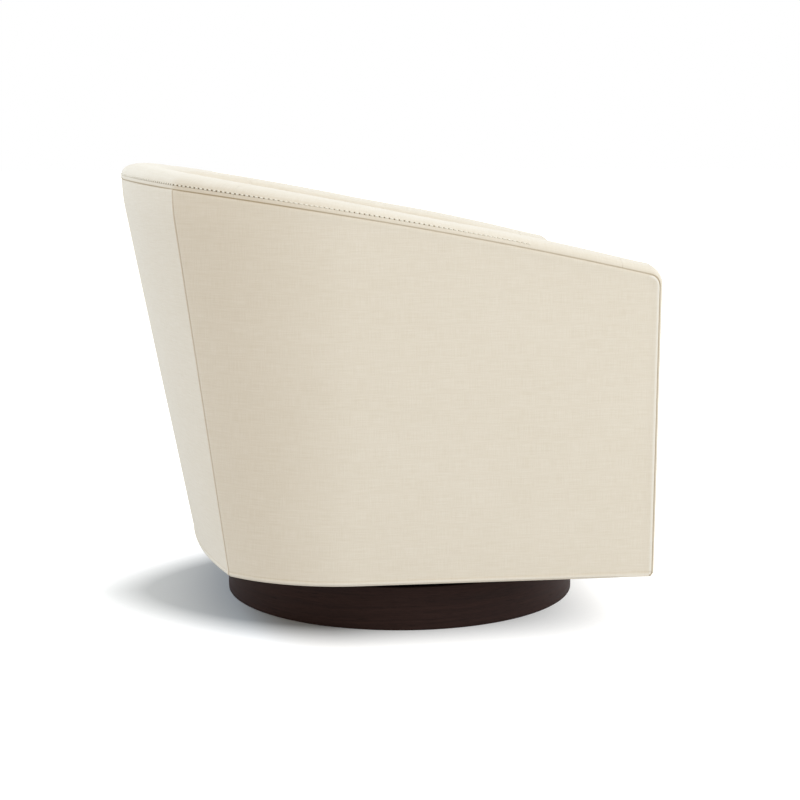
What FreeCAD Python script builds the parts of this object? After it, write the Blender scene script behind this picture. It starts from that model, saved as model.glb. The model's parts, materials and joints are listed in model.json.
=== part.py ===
"""Swivel barrel chair: a round plinth, a ball-bearing swivel and an upholstered tub body.

Frame: +Z up, the sitter faces -Y, the origin is on the floor under the swivel axis.
Everything is in millimetres. The body's outside is a ruled shell between a plan outline at its
bottom edge and a larger one above its rim; a long shallow arc, seen from the side, cuts the rim.
"""
import FreeCAD, Part
import math
import os
import Sketcher
from FreeCAD import Placement, Rotation, Vector

doc = FreeCAD.newDocument("swivel_barrel_chair")
sheet = doc.addObject("Spreadsheet::Sheet", "dims")

DRIVING = [
    ("plinth_radius", 285, "outside of the round plinth"),
    ("plinth_wall", 18, "bent plywood ring of the plinth"),
    ("plinth_top", 68, "top of the plinth, which stands flat on the floor"),
    ("board_thickness", 18, "plywood board inside the top of the plinth"),
    ("floor_board_thickness", 12, "plywood board inside the foot of the plinth"),
    ("board_gap", 0.2, "gap between a board and the ring"),
    ("brace_circle", 240, "circle of the outer faces' middles of the plinth braces"),
    ("brace_length", 90, "brace between the two boards, along the ring"),
    ("brace_width", 40, "brace between the two boards, across the ring"),
    ("edge_ease", 2, "eased edge of wooden parts"),
    ("swivel_plate", 230, "side of the square swivel plates"),
    ("swivel_sheet", 3, "thickness of the swivel plates"),
    ("swivel_corner", 14, "corner radius of the swivel plates"),
    ("swivel_top", 105, "top face of the upper swivel plate"),
    ("race_radius", 95, "circle of the ball centres"),
    ("race_half_width", 13, "half width of a ball race"),
    ("race_gap", 4, "gap between the two races"),
    ("ball_radius", 5, "bearing ball"),
    ("ball_clearance", 0.15, "gap between a ball and its groove"),
    ("cage_clearance", 0.4, "gap between a ball and its cage"),
    ("cage_thickness", 2, "nylon ball cage"),
    ("cage_half_width", 10, "half width of the ball cage"),
    ("pin_radius", 8, "king pin of the swivel"),
    ("pin_clearance", 0.05, "running gap of the king pin in its bush"),
    ("bush_radius", 12, "outside of the nylon pivot bush"),
    ("fixing_reach", 95, "swivel plate fixings, from the axis along X and along Y"),
    ("screw_radius", 2.5, "wood screw shank"),
    ("bolt_radius", 4, "plate bolt shank"),
    ("bolt_clearance", 0.25, "hole round a screw or bolt"),
    ("body_bottom", 105, "bottom edge of the upholstered body"),
    ("outline_top", 700, "level of the upper plan outline"),
    ("side_half_bottom", 398, "half width of the body at its bottom edge"),
    ("side_half_top", 408, "half width of the body at the upper outline"),
    ("back_reach_bottom", 341, "back of the body from the axis, at its bottom edge"),
    ("back_reach_top", 454, "back of the body from the axis, at the upper outline"),
    ("corner_x_bottom", 320, "back corner seam at the bottom edge, across"),
    ("corner_y_bottom", 291, "back corner seam at the bottom edge, from the axis"),
    ("corner_x_top", 325, "back corner seam at the upper outline, across"),
    ("corner_y_top", 370, "back corner seam at the upper outline, from the axis"),
    ("curve_start_bottom", 110, "where the side starts to curve in, at the bottom edge"),
    ("curve_start_top", 120, "where the side starts to curve in, at the upper outline"),
    ("front_reach", 320, "front edge of the side panels, from the axis"),
    ("rim_front_height", 548, "rim seam height at the front point of its arc"),
    ("rim_front_reach", 290, "front point of the rim arc, from the axis"),
    ("rim_middle_height", 621, "rim seam height at the middle point of its arc"),
    ("rim_middle_reach", 80, "middle point of the rim arc, behind the axis"),
    ("rim_back_height", 674, "rim seam height at the back point of its arc"),
    ("rim_back_reach", 449, "back point of the rim arc, behind the axis"),
    ("rim_nose", 17, "radius that turns the rim seam down the arm front"),
    ("seam_gap", 1, "sewn seam between the covers and the padded band"),
    ("band_seam_reach", 273, "cross seam between the back and arm bands, behind the axis"),
    ("band_straight_reach", 40, "where the arm bands start to run straight, behind the axis"),
    ("crown_arm", 16, "crown of the padded band on the arms"),
    ("crown_back", 27, "crown of the padded band at the middle of the back"),
    ("crown_corner", 24, "crown of the padded band at the back corners"),
    ("crown_front", 7, "crown of the padded band down the arm fronts"),
    ("cover", 3, "fabric with its lining and backing"),
    ("frame_depth", 46, "depth of the frame members behind the outside cover"),
    ("rail_setback", 4.5, "top rails behind the inner face of the outside covers"),
    ("room_half_bottom", 310, "half width between the arms at the seat deck"),
    ("room_half_top", 320, "half width between the arms at the upper outline"),
    ("room_back_bottom", 241, "inside back from the axis, at the seat deck"),
    ("room_back_top", 364, "inside back from the axis, at the upper outline"),
    ("room_corner", 150, "plan radius of the inside corners"),
    ("room_back_radius", 900, "plan radius of the inside back"),
    ("inside_seam_reach", 95, "seam between inside arm and inside back, at the seat deck"),
    ("deck_level", 315, "top of the seat deck"),
    ("rail_height", 40, "height of the bottom rails and bearers"),
    ("rail_thickness", 25, "thickness of the seat and top rails"),
    ("post_size", 32, "side of the hardwood posts"),
    ("bearer_width", 60, "width of the two swivel bearers"),
    ("spring_wire", 3.8, "wire of the zigzag seat springs"),
    ("spring_level", 285, "centre of the seat spring wire"),
    ("spring_half_width", 24, "half width of a seat spring"),
    ("spring_pitch", 100, "distance between seat springs"),
    ("spring_bend", 9, "bend radius of a seat spring"),
    ("deck_pad", 22, "felt and foam over the springs"),
    ("cushion_height", 128, "seat cushion from deck to crown"),
    ("cushion_gap", 3, "gap round the seat cushion"),
    ("cushion_front", 316, "front of the seat cushion, from the axis"),
    ("cushion_corner", 34, "front corner radius of the seat cushion"),
    ("strap_width", 58, "back webbing strap"),
    ("strap_thickness", 2, "back webbing strap"),
    ("strap_pitch", 150, "distance between back webbing straps"),
    ("welt_radius", 2.5, "piping along the bottom edge"),
]


class Size:
    """A length, as a number and as the expression that a property is bound to."""

    def __init__(self, value, text):
        self.value = value
        self.text = text

    def __add__(self, other):
        other = as_size(other)
        return Size(self.value + other.value, f"({self.text} + {other.text})")

    def __sub__(self, other):
        other = as_size(other)
        return Size(self.value - other.value, f"({self.text} - {other.text})")

    def __mul__(self, other):
        other = as_size(other)
        return Size(self.value * other.value, f"({self.text} * {other.text})")

    def __neg__(self):
        return Size(-self.value, f"(-1 * {self.text})")

    def __float__(self):
        return float(self.value)


def as_size(value):
    """A Size as it is, or a plain number as a Size."""
    return value if isinstance(value, Size) else Size(value, repr(value))


class Dims:
    """The driving dimensions by name: each attribute is a Size bound to its cell."""


dims = Dims()
for row, (alias, value, note) in enumerate(DRIVING, start=1):
    sheet.set(f"A{row}", note)
    sheet.set(f"B{row}", str(value))
    sheet.setAlias(f"B{row}", alias)
    setattr(dims, alias, Size(value, f"dims.{alias}"))
doc.recompute()

subparts = []


def keep(feature, label):
    """Gives a sub-part its label and adds it to the ones that are written out."""
    feature.Label = label
    subparts.append(feature)
    return feature


def bind(feature, **sizes):
    """Binds properties of a feature to expressions."""
    for name, size in sizes.items():
        feature.setExpression(name, as_size(size).text)


def place(feature, position, rotation=None):
    feature.Placement = Placement(position, rotation or Rotation())


# Sketches and PartDesign bodies


def new_body(label):
    return keep(doc.addObject("PartDesign::Body", label + "_body"), label)


def new_sketch(body, role, name, offset=0):
    """A sketch on one of the body's own origin planes, moved along the plane's normal."""
    sketch = body.newObject("Sketcher::SketchObject", name)
    plane = next(f for f in body.Origin.OriginFeatures if f.Role == role)
    sketch.AttachmentSupport = [(plane, "")]
    sketch.MapMode = "FlatFace"
    sketch.AttachmentOffset = Placement(Vector(0, 0, float(as_size(offset))), Rotation())
    sketch.setExpression(".AttachmentOffset.Base.z", as_size(offset).text)
    return sketch


def pin_point(sketch, geometry, end, point):
    """Fixes a point of a sketch line at sizes across and up from the origin."""
    for kind, size in zip(("DistanceX", "DistanceY"), point):
        size = as_size(size)
        index = sketch.addConstraint(
            Sketcher.Constraint(kind, -1, 1, geometry, end, float(size))
        )
        sketch.setExpression(f"Constraints[{index}]", size.text)


def draw_polygon(sketch, points):
    """A closed outline of straight lines with every corner at named sizes."""
    first = sketch.GeometryCount
    corners = [Vector(float(as_size(x)), float(as_size(y)), 0) for x, y in points]
    for i, corner in enumerate(corners):
        sketch.addGeometry(Part.LineSegment(corner, corners[(i + 1) % len(corners)]), False)
    for i in range(len(corners)):
        following = first + (i + 1) % len(corners)
        sketch.addConstraint(Sketcher.Constraint("Coincident", first + i, 2, following, 1))
    for i, point in enumerate(points):
        pin_point(sketch, first + i, 1, point)


def draw_circle(sketch, centre, radius):
    """A circle whose centre and radius are named sizes."""
    x, y = (as_size(c) for c in centre)
    radius = as_size(radius)
    circle = Part.Circle(Vector(float(x), float(y), 0), Vector(0, 0, 1), float(radius))
    index = sketch.addGeometry(circle, False)
    for kind, size in (("DistanceX", x), ("DistanceY", y)):
        constraint = sketch.addConstraint(
            Sketcher.Constraint(kind, -1, 1, index, 3, float(size))
        )
        sketch.setExpression(f"Constraints[{constraint}]", size.text)
    constraint = sketch.addConstraint(Sketcher.Constraint("Radius", index, float(radius)))
    sketch.setExpression(f"Constraints[{constraint}]", radius.text)


def rectangle(low_x, low_y, high_x, high_y):
    return [(low_x, low_y), (high_x, low_y), (high_x, high_y), (low_x, high_y)]


def pad_up(body, points, low, high):
    """Pads an outline in plan from one level to another."""
    sketch = new_sketch(body, "XY_Plane", "plan", low)
    draw_polygon(sketch, points)
    pad = body.newObject("PartDesign::Pad", "pad")
    pad.Profile = sketch
    bind(pad, Length=as_size(high) - low)
    doc.recompute()
    return pad


def pad_disc(body, radius, low, high, centre=(0, 0)):
    sketch = new_sketch(body, "XY_Plane", "disc", low)
    draw_circle(sketch, centre, radius)
    pad = body.newObject("PartDesign::Pad", "pad")
    pad.Profile = sketch
    bind(pad, Length=as_size(high) - low)
    doc.recompute()
    return pad


def revolve(body, points, name="turned", kind="PartDesign::Revolution"):
    """Turns an outline of radius and height about the body's Z axis, adding or cutting."""
    sketch = new_sketch(body, "XZ_Plane", name + "_profile")
    draw_polygon(sketch, points)
    turned = body.newObject(kind, name)
    turned.Profile = sketch
    turned.ReferenceAxis = (sketch, ["V_Axis"])
    turned.Angle = 360
    doc.recompute()
    return turned


def groove_ring(body, circle, level, radius):
    """Cuts a round groove about the Z axis, such as a ball track."""
    sketch = new_sketch(body, "XZ_Plane", "track_profile")
    draw_circle(sketch, (circle, level), radius)
    before = body.Shape.Volume
    groove = body.newObject("PartDesign::Groove", "track")
    groove.Profile = sketch
    groove.ReferenceAxis = (sketch, ["V_Axis"])
    groove.Angle = 360
    doc.recompute()
    check_cut(body, before)
    return groove


def check_cut(body, before):
    """Stops if a cut left the volume as it was."""
    if not body.Shape.Volume < before - 1e-3:
        raise RuntimeError(f"a cut in {body.Label} removed nothing")


def drill(body, centres, radius, low, high):
    """Cuts upright round holes between two levels."""
    sketch = new_sketch(body, "XY_Plane", "holes", high)
    for centre in centres:
        draw_circle(sketch, centre, radius)
    before = body.Shape.Volume
    pocket = body.newObject("PartDesign::Pocket", "drilled")
    pocket.Profile = sketch
    bind(pocket, Length=as_size(high) - low)
    doc.recompute()
    check_cut(body, before)
    return pocket


def four_corners(reach):
    """Centres at plus and minus the same reach along X and Y."""
    return [(reach, reach), (-reach, reach), (-reach, -reach), (reach, -reach)]


def ease(body, radius, chosen):
    """Rounds the edges of the body's shape that the test picks."""
    base = body.Tip
    names = [
        f"Edge{i}" for i, edge in enumerate(base.Shape.Edges, start=1) if chosen(edge)
    ]
    fillet = body.newObject("PartDesign::Fillet", "eased")
    fillet.Base = (base, names)
    bind(fillet, Radius=radius)
    doc.recompute()
    return fillet


def edge_is_upright(edge):
    first, last = edge.Vertexes[0].Point, edge.Vertexes[-1].Point
    return abs(first.x - last.x) + abs(first.y - last.y) < 1e-6


# Part primitives


def primitive(kind, name, position=Vector(), rotation=None, **sizes):
    """A Part primitive whose sizes are bound to expressions."""
    feature = doc.addObject(kind, name)
    bind(feature, **sizes)
    place(feature, position, rotation)
    return feature


def group(label, members):
    """Several like pieces as one sub-part of separate solids."""
    compound = doc.addObject("Part::Compound", label + "_group")
    compound.Links = members
    return keep(compound, label)


def fused(name, members):
    union = doc.addObject("Part::MultiFuse", name)
    union.Shapes = members
    return union


def shaped(label, shape):
    """A sub-part whose shape is made by Part's own functions."""
    feature = doc.addObject("Part::Feature", label + "_shape")
    feature.Shape = shape
    place(feature, Vector())
    return keep(feature, label)


def on_circle(radius, angle, level):
    turn = math.radians(angle)
    return Vector(radius * math.cos(turn), radius * math.sin(turn), level)


# Plan outlines of the body and of the room between its arms


def mix(low, high, share):
    return float(low) + (float(high) - float(low)) * share


def circle_through(p, q, r):
    """Centre and radius of the circle through three points of a plane."""
    ax, ay = q[0] - p[0], q[1] - p[1]
    bx, by = r[0] - p[0], r[1] - p[1]
    area = 2 * (ax * by - ay * bx)
    sa, sb = ax * ax + ay * ay, bx * bx + by * by
    cx = p[0] + (by * sa - ay * sb) / area
    cy = p[1] + (ax * sb - bx * sa) / area
    return (cx, cy), math.hypot(cx - p[0], cy - p[1])


class OuterOutline:
    """The body's plan outline at a level, a distance inside the outside face."""

    def __init__(self, level, inset=0.0):
        share = (level - float(dims.body_bottom)) / (
            float(dims.outline_top) - float(dims.body_bottom)
        )
        half = mix(dims.side_half_bottom, dims.side_half_top, share)
        back = mix(dims.back_reach_bottom, dims.back_reach_top, share)
        corner_x = mix(dims.corner_x_bottom, dims.corner_x_top, share)
        corner_y = mix(dims.corner_y_bottom, dims.corner_y_top, share)
        self.level = level
        self.curve_start = mix(dims.curve_start_bottom, dims.curve_start_top, share)
        across, along = half - corner_x, corner_y - self.curve_start
        side_radius = (across**2 + along**2) / (2 * across)
        self.back_centre, back_radius = circle_through(
            (-corner_x, corner_y), (0, back), (corner_x, corner_y)
        )
        self.side_centre = (half - side_radius, self.curve_start)
        self.half = half - inset
        self.back = back - inset
        self.side_radius = side_radius - inset
        self.back_radius = back_radius - inset
        self.corner = self._corner()

    def _corner(self):
        """Where the side arc meets the back arc, on the +X side."""
        ax, ay = self.back_centre
        bx, by = self.side_centre
        gap = math.hypot(bx - ax, by - ay)
        along = (self.back_radius**2 - self.side_radius**2 + gap**2) / (2 * gap)
        off = math.sqrt(max(self.back_radius**2 - along**2, 0.0))
        ux, uy = (bx - ax) / gap, (by - ay) / gap
        meeting = [
            (ax + along * ux - off * uy, ay + along * uy + off * ux),
            (ax + along * ux + off * uy, ay + along * uy - off * ux),
        ]
        return max(meeting, key=lambda p: p[0])

    def side_x(self, y):
        """Half width at a distance behind the axis, in front of the corner."""
        if y <= self.curve_start:
            return self.half
        rise = y - self.side_centre[1]
        return self.side_centre[0] + math.sqrt(self.side_radius**2 - rise**2)

    def back_y(self, x):
        return self.back_centre[1] + math.sqrt(self.back_radius**2 - x * x)

    def wire(self, front):
        """The closed outline, with a straight front at a distance before the axis."""
        z = self.level
        cx, cy = self.corner
        mid_y = (self.curve_start + cy) / 2
        mid_x = self.side_x(mid_y)

        def at(x, y):
            return Vector(x, y, z)

        return Part.Wire(
            [
                Part.makeLine(at(-self.half, -front), at(self.half, -front)),
                Part.makeLine(at(self.half, -front), at(self.half, self.curve_start)),
                Part.Arc(at(self.half, self.curve_start), at(mid_x, mid_y), at(cx, cy)).toShape(),
                Part.Arc(at(cx, cy), at(0, self.back), at(-cx, cy)).toShape(),
                Part.Arc(at(-cx, cy), at(-mid_x, mid_y), at(-self.half, self.curve_start)).toShape(),
                Part.makeLine(at(-self.half, self.curve_start), at(-self.half, -front)),
            ]
        )


class RoomOutline:
    """Plan outline of the room between the arms at a level, grown outwards by a distance."""

    def __init__(self, level, grow=0.0):
        share = (level - float(dims.deck_level)) / (
            float(dims.outline_top) - float(dims.deck_level)
        )
        half = mix(dims.room_half_bottom, dims.room_half_top, share)
        back = mix(dims.room_back_bottom, dims.room_back_top, share)
        corner, sweep = float(dims.room_corner), float(dims.room_back_radius)
        self.level = level
        self.back_centre = (0.0, back - sweep)
        rise = math.sqrt((sweep - corner) ** 2 - (half - corner) ** 2)
        self.curve_start = self.back_centre[1] + rise
        self.corner_centre = (half - corner, self.curve_start)
        self.half = half + grow
        self.back = back + grow
        self.corner_radius = corner + grow
        self.back_radius = sweep + grow
        reach = self.back_radius / math.hypot(half - corner, rise)
        self.join = (
            (half - corner) * reach,
            self.back_centre[1] + rise * reach,
        )

    def side_x(self, y):
        if y <= self.curve_start:
            return self.half
        rise = y - self.corner_centre[1]
        return self.corner_centre[0] + math.sqrt(self.corner_radius**2 - rise**2)

    def corner_point(self, angle):
        """A point of the inside corner arc, turned from the side towards the back."""
        turn = math.radians(angle)
        return (
            self.corner_centre[0] + self.corner_radius * math.cos(turn),
            self.corner_centre[1] + self.corner_radius * math.sin(turn),
        )

    def back_y(self, x):
        if abs(x) <= self.join[0]:
            return self.back_centre[1] + math.sqrt(self.back_radius**2 - x * x)
        side = abs(x) - self.corner_centre[0]
        return self.corner_centre[1] + math.sqrt(self.corner_radius**2 - side * side)

    def wire(self, front, front_corner=0.0, level=None):
        """The closed outline, with a straight front and, if asked, rounded front corners."""
        z = self.level if level is None else level
        h, s = self.half, self.curve_start
        jx, jy = self.join
        turn = math.degrees(math.atan2(jy - self.corner_centre[1], jx - self.corner_centre[0]))
        mx, my = self.corner_point(turn / 2)
        r = front_corner
        k = r * (1 - math.sqrt(0.5))

        def at(x, y):
            return Vector(x, y, z)

        edges = [
            Part.makeLine(at(h, -front + r), at(h, s)),
            Part.Arc(at(h, s), at(mx, my), at(jx, jy)).toShape(),
            Part.Arc(at(jx, jy), at(0, self.back), at(-jx, jy)).toShape(),
            Part.Arc(at(-jx, jy), at(-mx, my), at(-h, s)).toShape(),
            Part.makeLine(at(-h, s), at(-h, -front + r)),
        ]
        if r:
            edges.append(Part.Arc(at(-h, -front + r), at(-h + k, -front + k), at(-h + r, -front)).toShape())
        edges.append(Part.makeLine(at(-h + r, -front), at(h - r, -front)))
        if r:
            edges.append(Part.Arc(at(h - r, -front), at(h - k, -front + k), at(h, -front + r)).toShape())
        return Part.Wire(edges)


def outer_block(inset, low, high, front):
    """The solid inside the body's outline, ruled between two levels."""
    wires = [OuterOutline(level, inset).wire(front) for level in (low, high)]
    return Part.makeLoft(wires, True, True)


def room_block(grow, low, high, front):
    wires = [RoomOutline(level, grow).wire(front) for level in (low, high)]
    return Part.makeLoft(wires, True, True)


# The rim: a long arc in side view, turned down the arm fronts by a small nose

RIM_POINTS = [
    (-float(dims.rim_front_reach), float(dims.rim_front_height)),
    (float(dims.rim_middle_reach), float(dims.rim_middle_height)),
    (float(dims.rim_back_reach), float(dims.rim_back_height)),
]
RIM_CENTRE, RIM_RADIUS = circle_through(*RIM_POINTS)


def rim_z(y, drop=0.0):
    """Height of the rim seam at a distance behind the axis."""
    return RIM_CENTRE[1] + math.sqrt((RIM_RADIUS - drop) ** 2 - (y - RIM_CENTRE[0]) ** 2)


def nose_centre():
    """Centre of the nose, tangent to the rim arc and to the front edge."""
    nose = float(dims.rim_nose)
    y = -float(dims.front_reach) + nose
    z = RIM_CENTRE[1] + math.sqrt((RIM_RADIUS - nose) ** 2 - (y - RIM_CENTRE[0]) ** 2)
    return y, z


NOSE_Y, NOSE_Z = nose_centre()
NOSE_TURN = math.degrees(math.atan2(NOSE_Y - RIM_CENTRE[0], NOSE_Z - RIM_CENTRE[1]))
HALF_SPAN = 600.0
FAR_BACK = 560.0


def nose_point(angle, drop=0.0):
    """A point of the nose, from 0 at the rim to 90 on the upright front edge."""
    turn = math.radians(-NOSE_TURN + (90 + NOSE_TURN) * angle / 90)
    radius = float(dims.rim_nose) - drop
    return (NOSE_Y - radius * math.sin(turn), NOSE_Z + radius * math.cos(turn)), turn


def under_rim(drop=0.0, low=0.0):
    """Everything under the rim seam and behind the front edge, lowered by a distance."""

    def at(y, z):
        return Vector(-HALF_SPAN, y, z)

    front = -float(dims.front_reach) + drop
    middle = float(dims.rim_middle_reach)
    if drop < float(dims.rim_nose) - 2:
        (start_y, start_z), _ = nose_point(0, drop)
        (mid_y, mid_z), _ = nose_point(45, drop)
        (end_y, end_z), _ = nose_point(90, drop)
        edges = [Part.Arc(at(end_y, end_z), at(mid_y, mid_z), at(start_y, start_z)).toShape()]
    else:
        start_y, start_z = front, rim_z(front, drop)
        end_y, end_z = start_y, start_z
        edges = []
    far = at(FAR_BACK, rim_z(FAR_BACK, drop))
    edges.append(Part.Arc(at(start_y, start_z), at(middle, rim_z(middle, drop)), far).toShape())
    edges.append(Part.makeLine(far, at(FAR_BACK, low)))
    edges.append(Part.makeLine(at(FAR_BACK, low), at(front, low)))
    edges.append(Part.makeLine(at(front, low), at(end_y, end_z)))
    return Part.Face(Part.Wire(edges)).extrude(Vector(2 * HALF_SPAN, 0, 0))


def corner_wedge(low, high):
    """The wedge behind the two back corner seams, split from the sides at 45 degrees."""
    inwards, outwards = 160.0, 200.0
    wires = []
    for level in (low, high):
        x, y = OuterOutline(level).corner
        points = [
            Vector(x - inwards, y - inwards, level),
            Vector(x + outwards, y + outwards, level),
            Vector(-x - outwards, y + outwards, level),
            Vector(-x + inwards, y - inwards, level),
        ]
        wires.append(Part.makePolygon(points + points[:1]))
    return Part.makeLoft(wires, True, True)


def half_space(side):
    """A big box on one side of the middle plane: -1 is the sitter's right, at -X."""
    low = -HALF_SPAN if side < 0 else 0.0
    return Part.makeBox(HALF_SPAN, 2 * HALF_SPAN, 900, Vector(low, -HALF_SPAN, 0))


SIDES = (("left", 1), ("right", -1))


# Plinth


def make_plinth():
    top = dims.plinth_top
    inner = dims.plinth_radius - dims.plinth_wall

    ring = new_body("plinth_ring")
    revolve(ring, [(inner, 0), (dims.plinth_radius, 0), (dims.plinth_radius, top), (inner, top)])
    ease(ring, dims.edge_ease, is_outer_rim)

    under_top_board = top - dims.board_thickness
    board = new_body("plinth_board")
    pad_disc(board, inner - dims.board_gap, under_top_board, top)
    screw_hole = dims.screw_radius + dims.bolt_clearance
    drill(board, four_corners(dims.fixing_reach), screw_hole, under_top_board, top)

    floor_board = new_body("plinth_floor_board")
    pad_disc(floor_board, inner - dims.board_gap, 0, dims.floor_board_thickness)

    braces = []
    for number in range(4):
        angle = 90 * number
        turn = Rotation(Vector(0, 0, 1), angle)
        inner_edge = float(dims.brace_circle - dims.brace_width * 0.5)
        corner = Vector(inner_edge, -float(dims.brace_length) / 2, float(dims.floor_board_thickness))
        braces.append(
            primitive(
                "Part::Box",
                f"brace_{number + 1}",
                turn.multVec(corner),
                turn,
                Length=dims.brace_width,
                Width=dims.brace_length,
                Height=under_top_board - dims.floor_board_thickness,
            )
        )
    group("plinth_braces", braces)


def is_outer_rim(edge):
    """True for the two round outer edges of the plinth ring."""
    box = edge.BoundBox
    return box.ZLength < 1e-3 and box.XLength > 2 * float(dims.plinth_radius) - 1e-3


# Swivel: two plates with ball races, a caged ring of balls and a king pin


def race_levels():
    """Levels of the ball centres and of the two race faces."""
    low, high = dims.plinth_top + dims.swivel_sheet, dims.swivel_top - dims.swivel_sheet
    middle = (low + high) * 0.5
    return middle, middle - dims.race_gap * 0.5, middle + dims.race_gap * 0.5


def make_swivel():
    middle, low_face, high_face = race_levels()
    plate_low, plate_high = dims.plinth_top, dims.swivel_top
    half = dims.swivel_plate * 0.5
    square = rectangle(-half, -half, half, half)
    inner = dims.race_radius - dims.race_half_width
    outer = dims.race_radius + dims.race_half_width
    track = dims.ball_radius + dims.ball_clearance
    reach = dims.fixing_reach

    lower = new_body("swivel_lower_plate")
    pad_up(lower, square, plate_low, plate_low + dims.swivel_sheet)
    ease(lower, dims.swivel_corner, edge_is_upright)
    base = plate_low + dims.swivel_sheet * 0.5
    revolve(lower, [(inner, base), (outer, base), (outer, low_face), (inner, low_face)], "race")
    groove_ring(lower, dims.race_radius, middle, track)
    drill(
        lower,
        four_corners(reach),
        dims.screw_radius + dims.bolt_clearance,
        plate_low,
        plate_low + dims.swivel_sheet,
    )
    drill(lower, [(0, 0)], dims.pin_radius, plate_low, plate_low + dims.swivel_sheet)

    upper = new_body("swivel_upper_plate")
    pad_up(upper, square, plate_high - dims.swivel_sheet, plate_high)
    ease(upper, dims.swivel_corner, edge_is_upright)
    roof = plate_high - dims.swivel_sheet * 0.5
    revolve(upper, [(inner, high_face), (outer, high_face), (outer, roof), (inner, roof)], "race")
    groove_ring(upper, dims.race_radius, middle, track)
    drill(
        upper,
        four_corners(reach),
        dims.bolt_radius + dims.bolt_clearance,
        plate_high - dims.swivel_sheet,
        plate_high,
    )
    drill(upper, [(0, 0)], dims.bush_radius, plate_high - dims.swivel_sheet, plate_high)

    make_cage(middle)
    make_pin(plate_low + dims.swivel_sheet, plate_high)
    make_fixings(plate_low, plate_high)


def make_cage(middle):
    cage = new_body("ball_cage")
    half_height = dims.cage_thickness * 0.5
    low, high = middle - half_height, middle + half_height
    inner = dims.race_radius - dims.cage_half_width
    outer = dims.race_radius + dims.cage_half_width
    revolve(cage, [(inner, low), (outer, low), (outer, high), (inner, high)])
    sketch = new_sketch(cage, "XY_Plane", "ball_pocket", high)
    draw_circle(sketch, (dims.race_radius, 0), dims.ball_radius + dims.cage_clearance)
    before = cage.Shape.Volume
    pocket = cage.newObject("PartDesign::Pocket", "pocket")
    pocket.Profile = sketch
    bind(pocket, Length=dims.cage_thickness)
    doc.recompute()
    check_cut(cage, before)
    pattern = cage.newObject("PartDesign::PolarPattern", "pockets")
    pattern.Originals = [pocket]
    pattern.Axis = (sketch, ["N_Axis"])
    pattern.Angle = 360
    pattern.Occurrences = BALLS
    cage.Tip = pattern
    doc.recompute()

    balls = []
    for number in range(BALLS):
        centre = on_circle(float(dims.race_radius), 360 * number / BALLS, float(middle))
        balls.append(
            primitive("Part::Sphere", f"ball_{number + 1}", centre, Radius=dims.ball_radius)
        )
    group("bearing_balls", balls)


BALLS = 24


def make_pin(floor, roof):
    """King pin riveted to the lower plate, with its bush, washer and lock nut."""
    shoulder, shoulder_height = 14, 4
    washer_radius, washer_thickness, flange = 15, 1.5, 2
    nut_height, nut_radius = 7, 12.5
    pin_top = roof + flange + washer_thickness + nut_height + 3

    pin = new_body("king_pin")
    revolve(
        pin,
        [
            (0, floor - dims.swivel_sheet),
            (dims.pin_radius, floor - dims.swivel_sheet),
            (dims.pin_radius, floor),
            (shoulder, floor),
            (shoulder, floor + shoulder_height),
            (dims.pin_radius, floor + shoulder_height),
            (dims.pin_radius, pin_top),
            (0, pin_top),
        ],
    )

    bush = new_body("pivot_bush")
    bore = dims.pin_radius + dims.pin_clearance
    revolve(
        bush,
        [
            (bore, roof - dims.swivel_sheet - 4),
            (dims.bush_radius, roof - dims.swivel_sheet - 4),
            (dims.bush_radius, roof),
            (dims.bush_radius + 3, roof),
            (dims.bush_radius + 3, roof + flange),
            (bore, roof + flange),
        ],
    )

    running_gap = 0.2
    washer_low = roof + flange + running_gap
    washer = new_body("pivot_washer")
    revolve(
        washer,
        [
            (dims.pin_radius + 0.05, washer_low),
            (washer_radius, washer_low),
            (washer_radius, washer_low + washer_thickness),
            (dims.pin_radius + 0.05, washer_low + washer_thickness),
        ],
    )

    nut_low = washer_low + washer_thickness
    nut = new_body("pivot_nut")
    hexagon = [
        (nut_radius * math.cos(math.radians(60 * i)), nut_radius * math.sin(math.radians(60 * i)))
        for i in range(6)
    ]
    pad_up(nut, hexagon, nut_low, nut_low + nut_height)
    drill(nut, [(0, 0)], dims.pin_radius, nut_low, nut_low + nut_height)


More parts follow.
